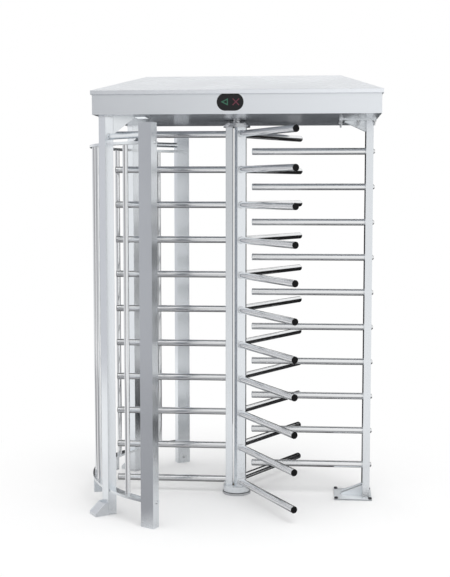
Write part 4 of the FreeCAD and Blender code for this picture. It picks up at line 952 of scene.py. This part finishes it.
def add_thread(bm, top, length, radius, pitch):
    """Ridges of a thread below a point."""
    profile = [(0, 0)]
    for turn in range(int(length / pitch)):
        level = -turn * pitch
        profile += [(radius, level), (radius + 0.0004, level - pitch / 2)]
    profile += [(radius, -length), (0, -length - 0.0005)]
    turn_profile(bm, profile, Matrix.Translation(top), 20)


def comb_washers(bm, settings):
    for level in COMB_LEVELS:
        add_ring(bm, (COMB_POST[1], 0, level), (1, 0, 0), 0.014, 0.0175, settings.washer)


def comb_sockets(bm, settings):
    for level in COMB_LEVELS:
        add_socket(bm, (COMB_POST[1] + COMB_HEAD, 0, level), (1, 0, 0),
                   0.006 * settings.socket)


def comb_nuts(bm, settings):
    top, height = COMB_PLATES[1], 0.009
    for x, y in COMB_NUTS:
        add_ring(bm, (x, y, top), -AXIS_UP, 0.005, 0.0115, settings.washer)
        add_hex(bm, (x, y, top - settings.washer), -AXIS_UP, 0.0106,
                height - settings.washer, 0.005)
        add_thread(bm, Vector((x, y, top - height)), 0.019, 0.005, settings.thread_pitch)


def anchor_nuts(bm, settings):
    base = COMB_PLATES[0]
    for x, y in COMB_ANCHORS:
        add_ring(bm, (x, y, base), AXIS_UP, 0.006, 0.0112, settings.washer)
        add_hex(bm, (x, y, base + settings.washer), AXIS_UP, 0.0104, 0.0076, 0.002)


def hub_details(bm, settings):
    for step in range(6):
        spot = turned(HUB_HEADS, 30 + 60 * step)
        add_socket(bm, spot, AXIS_UP, 0.005 * settings.socket)
        add_ring(bm, spot - AXIS_UP * HUB_HEAD_HEIGHT, AXIS_UP, 0.0085, 0.0102,
                 settings.washer)


def guard_head(bm, place, direction, settings):
    """Washer and socket of a bolt head on the guard."""
    outward = direction.normalized()
    radius, height = 0.008, 0.006
    add_ring(bm, place, outward, radius * 0.95, radius * 1.25, settings.washer)
    add_socket(bm, place + outward * height, outward, 0.004 * settings.socket)


def guard_details(bm, settings):
    for side in SIDES:
        for level in RAIL_BOLTS:
            spot = side_spot(RAIL_MIDDLE, GUARD_POST_WIDTH / 2, level, GUARD_OUTER_ANGLE, side)
            guard_head(bm, *spot, settings)
        for radius, angle, level in LUG_BOLTS:
            place = guard_spot(radius, 0, level, angle, side)
            guard_head(bm, place, Vector((0, 0, level)) - place, settings)


class FastenerOperator(bpy.types.Operator):
    """Makes the washers, hexagons, sockets and threads of the fasteners"""
    bl_idname = "turnstile.fasteners"
    bl_label = "Fasteners"

    def execute(self, context):
        settings = context.scene.turnstile_fasteners
        for name, build, body, look in (
                ("comb_bolt_washers", comb_washers, "frame", ZINC),
                # Flat dark hexagons on the comb bolts: painted shade in the socket holes.
                ("comb_socket_painted_shade", comb_sockets, "frame", DARK_ZINC_AND_SOCKET_SHADE),
                ("comb_head_nuts", comb_nuts, "frame", ZINC),
                ("floor_anchor_nuts", anchor_nuts, "frame", DARK_ZINC_AND_SOCKET_SHADE),
                ("hub_bolt_details", hub_details, "rotor", ZINC),
                ("guard_bolt_details", guard_details, "frame", ZINC)):
            piece(name, build, body, look, settings, crisp=25)
        return {"FINISHED"}


LID_SEAM = 0.0004
MOULDED_RING = (0.0095, 0.0108, 0.0005, 28)


def plug_rings(bm):
    for angle in WING_ANGLES:
        outward = turned((1, 0, 0), angle)
        for level in WING_LEVELS:
            tip = turned((WING_TIP, 0, level), angle)
            add_ring(bm, tip, outward, *MOULDED_RING)
            add_rod(bm, tip, tip + outward * 0.0006, 0.0016, 12)


def cap_rings(bm):
    for level in COMB_LEVELS:
        add_ring(bm, (COMB_START, 0, level), (-1, 0, 0), *MOULDED_RING)


def lid_seams(bm):
    for side in SIDES:
        corners = post_corners(GUARD_LID, GUARD_OUTER_ANGLE, side, inset=LID_SEAM)
        for start, end in closed_pairs(corners):
            add_bead(bm, line_path(start, end, 0.02), LID_SEAM, closed=False)


class CapOperator(bpy.types.Operator):
    """Makes the moulded rings of the bars' plugs and caps and the lids' edges"""
    bl_idname = "turnstile.caps"
    bl_label = "Plugs and caps"

    def execute(self, context):
        piece("wing_plug_rings", plug_rings, "rotor", PLASTIC)
        piece("comb_cap_rings", cap_rings, "frame", ("satin_steel", "satin_plate"))
        piece("post_lid_seams", lid_seams, "frame", WELD)
        return {"FINISHED"}


def pill_path(y, grow, count=24):
    """Outline of the indicator window at a depth."""
    middle, height, length, width = SIGN
    radius = width / 2 + grow
    run = (length - width) / 2
    path = []
    for side, start in ((1, -90), (-1, 90)):
        for step in range(count + 1):
            angle = math.radians(start + 180 * step / count)
            path.append(Vector((middle + side * run + radius * math.cos(angle), y,
                                height + radius * math.sin(angle))))
    return path


def bezels(bm):
    for side in SIDES:
        add_bead(bm, pill_path(side * SIGN_FACE, 0.0004), 0.0011, sides=8)


def lamp_frame(bm):
    (left, front), (right, back), level = LAMP
    rim = 0.0015
    for low, high in (((left - rim, front - rim), (right + rim, front)),
                      ((left - rim, back), (right + rim, back + rim)),
                      ((left - rim, front), (left, back)),
                      ((right, front), (right + rim, back))):
        add_box(bm, (*low, level), (*high, CANOPY_UNDERSIDE), 0.0004)


def lamp_ribs(bm):
    (left, front), (right, back), level = LAMP
    for step in range(1, 12):
        y = front + (back - front) * step / 12
        path = line_path((left + 0.003, y, level), (right - 0.003, y, level), 0.01)
        add_bead(bm, path, 0.0006, closed=False)


class SignOperator(bpy.types.Operator):
    """Makes the bezels of the indicators and the frame and ribs of the lamp"""
    bl_idname = "turnstile.signs"
    bl_label = "Indicators and lamp"

    def execute(self, context):
        piece("indicator_bezels", bezels, "frame", ("indicator_window", "window_black"))
        piece("lamp_frame", lamp_frame, "frame", ("canopy_metal", "satin_plate"))
        piece("lamp_ribs", lamp_ribs, "frame", ("lamp_diffuser", "lamp_opal"))
        return {"FINISHED"}


def motor_fins(bm):
    lowest, pitch, count = MOTOR_FIN
    for step in range(count):
        spot = (MOTOR_X, 0, lowest + pitch * step)
        add_ring(bm, spot, AXIS_UP, 0.0495, 0.0545, 0.0022, 48)
    add_box(bm, (MOTOR_X - 0.018, -0.072, 2.170), (MOTOR_X + 0.018, -0.049, 2.204), 0.002)


def deck_bolts(bm):
    washer = 0.0012
    for x in (-0.050, 0.050):
        for y in (-0.050, 0.050):
            spot = Vector((MOTOR_X + x, y, DECK_TOP))
            add_ring(bm, spot, AXIS_UP, 0.003, 0.0068, washer)
            add_hex(bm, spot + AXIS_UP * washer, AXIS_UP, 0.0058, 0.004)
    for step in range(4):
        spot = turned((0.0525, 0, HOUSING_TOP), 45 + 90 * step)
        add_hex(bm, spot, AXIS_UP, 0.0052, 0.004)


def pulley_rims(bm, x, inner, outer, segments):
    for level in PULLEY_RIMS:
        add_ring(bm, (x, 0, level), AXIS_UP, inner, outer, 0.0016, segments)


def balls(bm):
    count = 14
    for step in range(count):
        spot = turned(BALL_RING, 360 / count * step)
        bmesh.ops.create_uvsphere(bm, u_segments=12, v_segments=8, radius=0.003,
                                  matrix=Matrix.Translation(spot))


def circlips(bm):
    x, y, level = PAWL_PIN
    for side in (-1, 1):
        add_ring(bm, (x, side * y, level), AXIS_UP, 0.0058, 0.009, 0.001)


class DriveOperator(bpy.types.Operator):
    """Makes the details of the motor, the pulleys, the bearing and the lock"""
    bl_idname = "turnstile.drive"
    bl_label = "Drive and lock"

    def execute(self, context):
        for name, build, body, look, *given in (
                ("motor_fins", motor_fins, "frame", ("motor_paint", "motor_paint")),
                ("deck_bolts", deck_bolts, "frame", ZINC),
                ("rotor_pulley_rims", pulley_rims, "rotor", PULLEY, 0, 0.089, 0.0945, 96),
                ("motor_pulley_rims", pulley_rims, "motor_output", PULLEY, MOTOR_X, 0.029,
                 0.0345, 64),
                ("bearing_balls", balls, "frame", ("machined_steel", "machined")),
                ("shaft_nut", add_hex, "rotor", ZINC, SHAFT_NUT, AXIS_UP, 0.032, 0.009, 0.0202),
                ("pin_circlips", circlips, "frame", ZINC)):
            piece(name, build, body, look, *given, crisp=35)
        return {"FINISHED"}


class CableSettings(bpy.types.PropertyGroup):
    radius: bpy.props.FloatProperty(
        name="Cable", description="Radius of the cables", default=0.003, min=0.001, max=0.008,
        unit="LENGTH")


# Cables inside the canopy, in this order: the supply's, the motor's, the board's, the two
# indicators', the lamp's and the two solenoids'.
SIGN_CABLE = ((-0.526, 0.045, 2.184), (-0.520, 0.090, 2.205), (-0.505, 0.150, 2.217),
              (-0.440, 0.260, 2.175), (-0.150, 0.480, 2.170), (-0.030, 0.515, 2.200),
              (0.000, 0.521, 2.215))
CABLES = (
    ((0.748, 0, 2.162), (0.735, 0, 2.180), (0.660, 0.010, 2.176), (0.570, 0.010, 2.182)),
    ((0.420, -0.020, 2.190), (0.395, -0.040, 2.180), (0.340, -0.085, 2.176),
     (0.300, -0.080, 2.184), (0.277, -0.062, 2.188)),
    ((0.420, 0.030, 2.190), (0.380, 0.080, 2.185), (0.100, 0.090, 2.175),
     (-0.200, 0.080, 2.172), (-0.340, 0.055, 2.180), (-0.372, 0.040, 2.1795)),
    [(x, -y, z) for x, y, z in SIGN_CABLE],
    SIGN_CABLE,
    ((-0.540, -0.040, 2.184), (-0.545, -0.100, 2.208), (-0.530, -0.160, 2.217),
     (-0.505, -0.250, 2.180), (-0.492, -0.330, 2.163)),
    ((-0.400, -0.010, 2.186), (-0.330, -0.020, 2.215), (-0.230, -0.050, 2.232),
     (-0.180, -0.075, 2.262), (-0.160, -0.087, 2.300)),
    ((-0.400, 0.020, 2.186), (-0.330, 0.025, 2.215), (-0.230, 0.050, 2.232),
     (-0.180, 0.075, 2.262), (-0.160, 0.087, 2.300)),
)


def cables(bm, radius):
    for points in CABLES:
        add_bead(bm, curve_path(points), radius, closed=False, sides=10)


def glands(bm, radius):
    for points in CABLES:
        start, following = Vector(points[0]), Vector(points[1])
        end = start + (following - start).normalized() * 0.010
        add_rod(bm, start, end, radius * 1.7, 6)


def board_parts(bm):
    for y in (-0.045, -0.020, 0.045):
        add_rod(bm, (-0.384, y, BOARD_TOP), (-0.384, y, 2.188), 0.006, 20)
    for step in range(6):
        y = -0.055 + 0.016 * step
        add_box(bm, (-0.450, y, BOARD_TOP), (-0.442, y + 0.004, 2.177), 0.0004)
    for step in range(8):
        y = -0.040 + 0.011 * step
        add_rod(bm, (-0.526, y, 2.189), (-0.526, y, 2.190), 0.003, 12)


def board_contacts(bm):
    for step in range(9):
        y = 0.003 + 0.0033 * step
        for x in (-0.4385, -0.3995):
            add_box(bm, (x - 0.0015, y - 0.0006, BOARD_TOP), (x + 0.0015, y + 0.0006, 2.1765),
                    0.0002)
    for x in (-0.550, -0.370):
        for y in (-0.055, 0.055):
            add_hex(bm, (x, y, BOARD_TOP), AXIS_UP, 0.0045, 0.003)


def supply_vents(bm):
    for step in range(9):
        x = 0.450 + 0.011 * step
        add_box(bm, (x, -0.030, SUPPLY_TOP), (x + 0.005, 0.030, SUPPLY_TOP + 0.0008), 0.0002)
    for step in range(5):
        y = -0.036 + 0.014 * step
        add_rod(bm, (0.420, y, 2.172), (0.417, y, 2.172), 0.0042, 12)


def solenoid_bands(bm):
    (left, bottom), (right, top) = SOLENOID_FACES
    sheet = 0.0013
    for side in SIDES:
        for y in (0.068, 0.105):
            near, far = sorted((side * y, side * (y + 0.006)))
            for low, high in (((left, bottom), (right, bottom + sheet)),
                              ((left, top - sheet), (right, top)),
                              ((left, bottom), (left + sheet, top)),
                              ((right - sheet, bottom), (right, top))):
                add_box(bm, (low[0], near, low[1]), (high[0], far, high[1]), 0.0003)


class ElectricsOperator(bpy.types.Operator):
    """Makes the cables and the details of the board, the supply and the solenoids"""
    bl_idname = "turnstile.electrics"
    bl_label = "Electrics"

    def execute(self, context):
        radius = context.scene.turnstile_cables.radius
        for name, build, look, *given in (
                ("cables", cables, PLASTIC, radius),
                ("cable_glands", glands, PLASTIC, radius),
                ("board_parts", board_parts, PLASTIC),
                ("board_contacts", board_contacts, ZINC),
                ("supply_vents", supply_vents, PLASTIC),
                ("solenoid_bands", solenoid_bands, ZINC)):
            piece(name, build, "frame", look, *given, crisp=35)
        return {"FINISHED"}


class TurnstilePanel(bpy.types.Panel):
    """Lists the turnstile's pieces and settings"""
    bl_idname = "VIEW3D_PT_turnstile"
    bl_label = "Turnstile"
    bl_space_type = "VIEW_3D"
    bl_region_type = "UI"
    bl_category = "Turnstile"

    def draw(self, context):
        for name in SETTINGS:
            settings = getattr(context.scene, name)
            for setting in settings.bl_rna.properties.keys():
                if setting not in ("rna_type", "name"):
                    self.layout.prop(settings, setting)
        for operator in STEPS:
            self.layout.operator(operator.bl_idname)


STEPS = (FinishOperator, RotorWeldOperator, FrameWeldOperator, FastenerOperator, CapOperator,
         SignOperator, DriveOperator, ElectricsOperator, StageOperator)
SETTINGS = {
    "turnstile_studio": StudioSettings,
    "turnstile_steel": SteelSettings,
    "turnstile_welds": WeldSettings,
    "turnstile_fasteners": FastenerSettings,
    "turnstile_cables": CableSettings,
}


CLASSES = (*SETTINGS.values(), *STEPS, TurnstilePanel)


def register():
    for cls in CLASSES:
        bpy.utils.register_class(cls)
    for name, cls in SETTINGS.items():
        setattr(bpy.types.Scene, name, bpy.props.PointerProperty(type=cls))


def unregister():
    for name in SETTINGS:
        delattr(bpy.types.Scene, name)
    for cls in reversed(CLASSES):
        bpy.utils.unregister_class(cls)


def main():
    register()
    bpy.ops.turnstile.finishes()
    bpy.ops.turnstile.rotor_welds()
    bpy.ops.turnstile.frame_welds()
    bpy.ops.turnstile.fasteners()
    bpy.ops.turnstile.caps()
    bpy.ops.turnstile.signs()
    bpy.ops.turnstile.drive()
    bpy.ops.turnstile.electrics()
    bpy.ops.turnstile.stage()


if __name__ == "__main__":
    main()
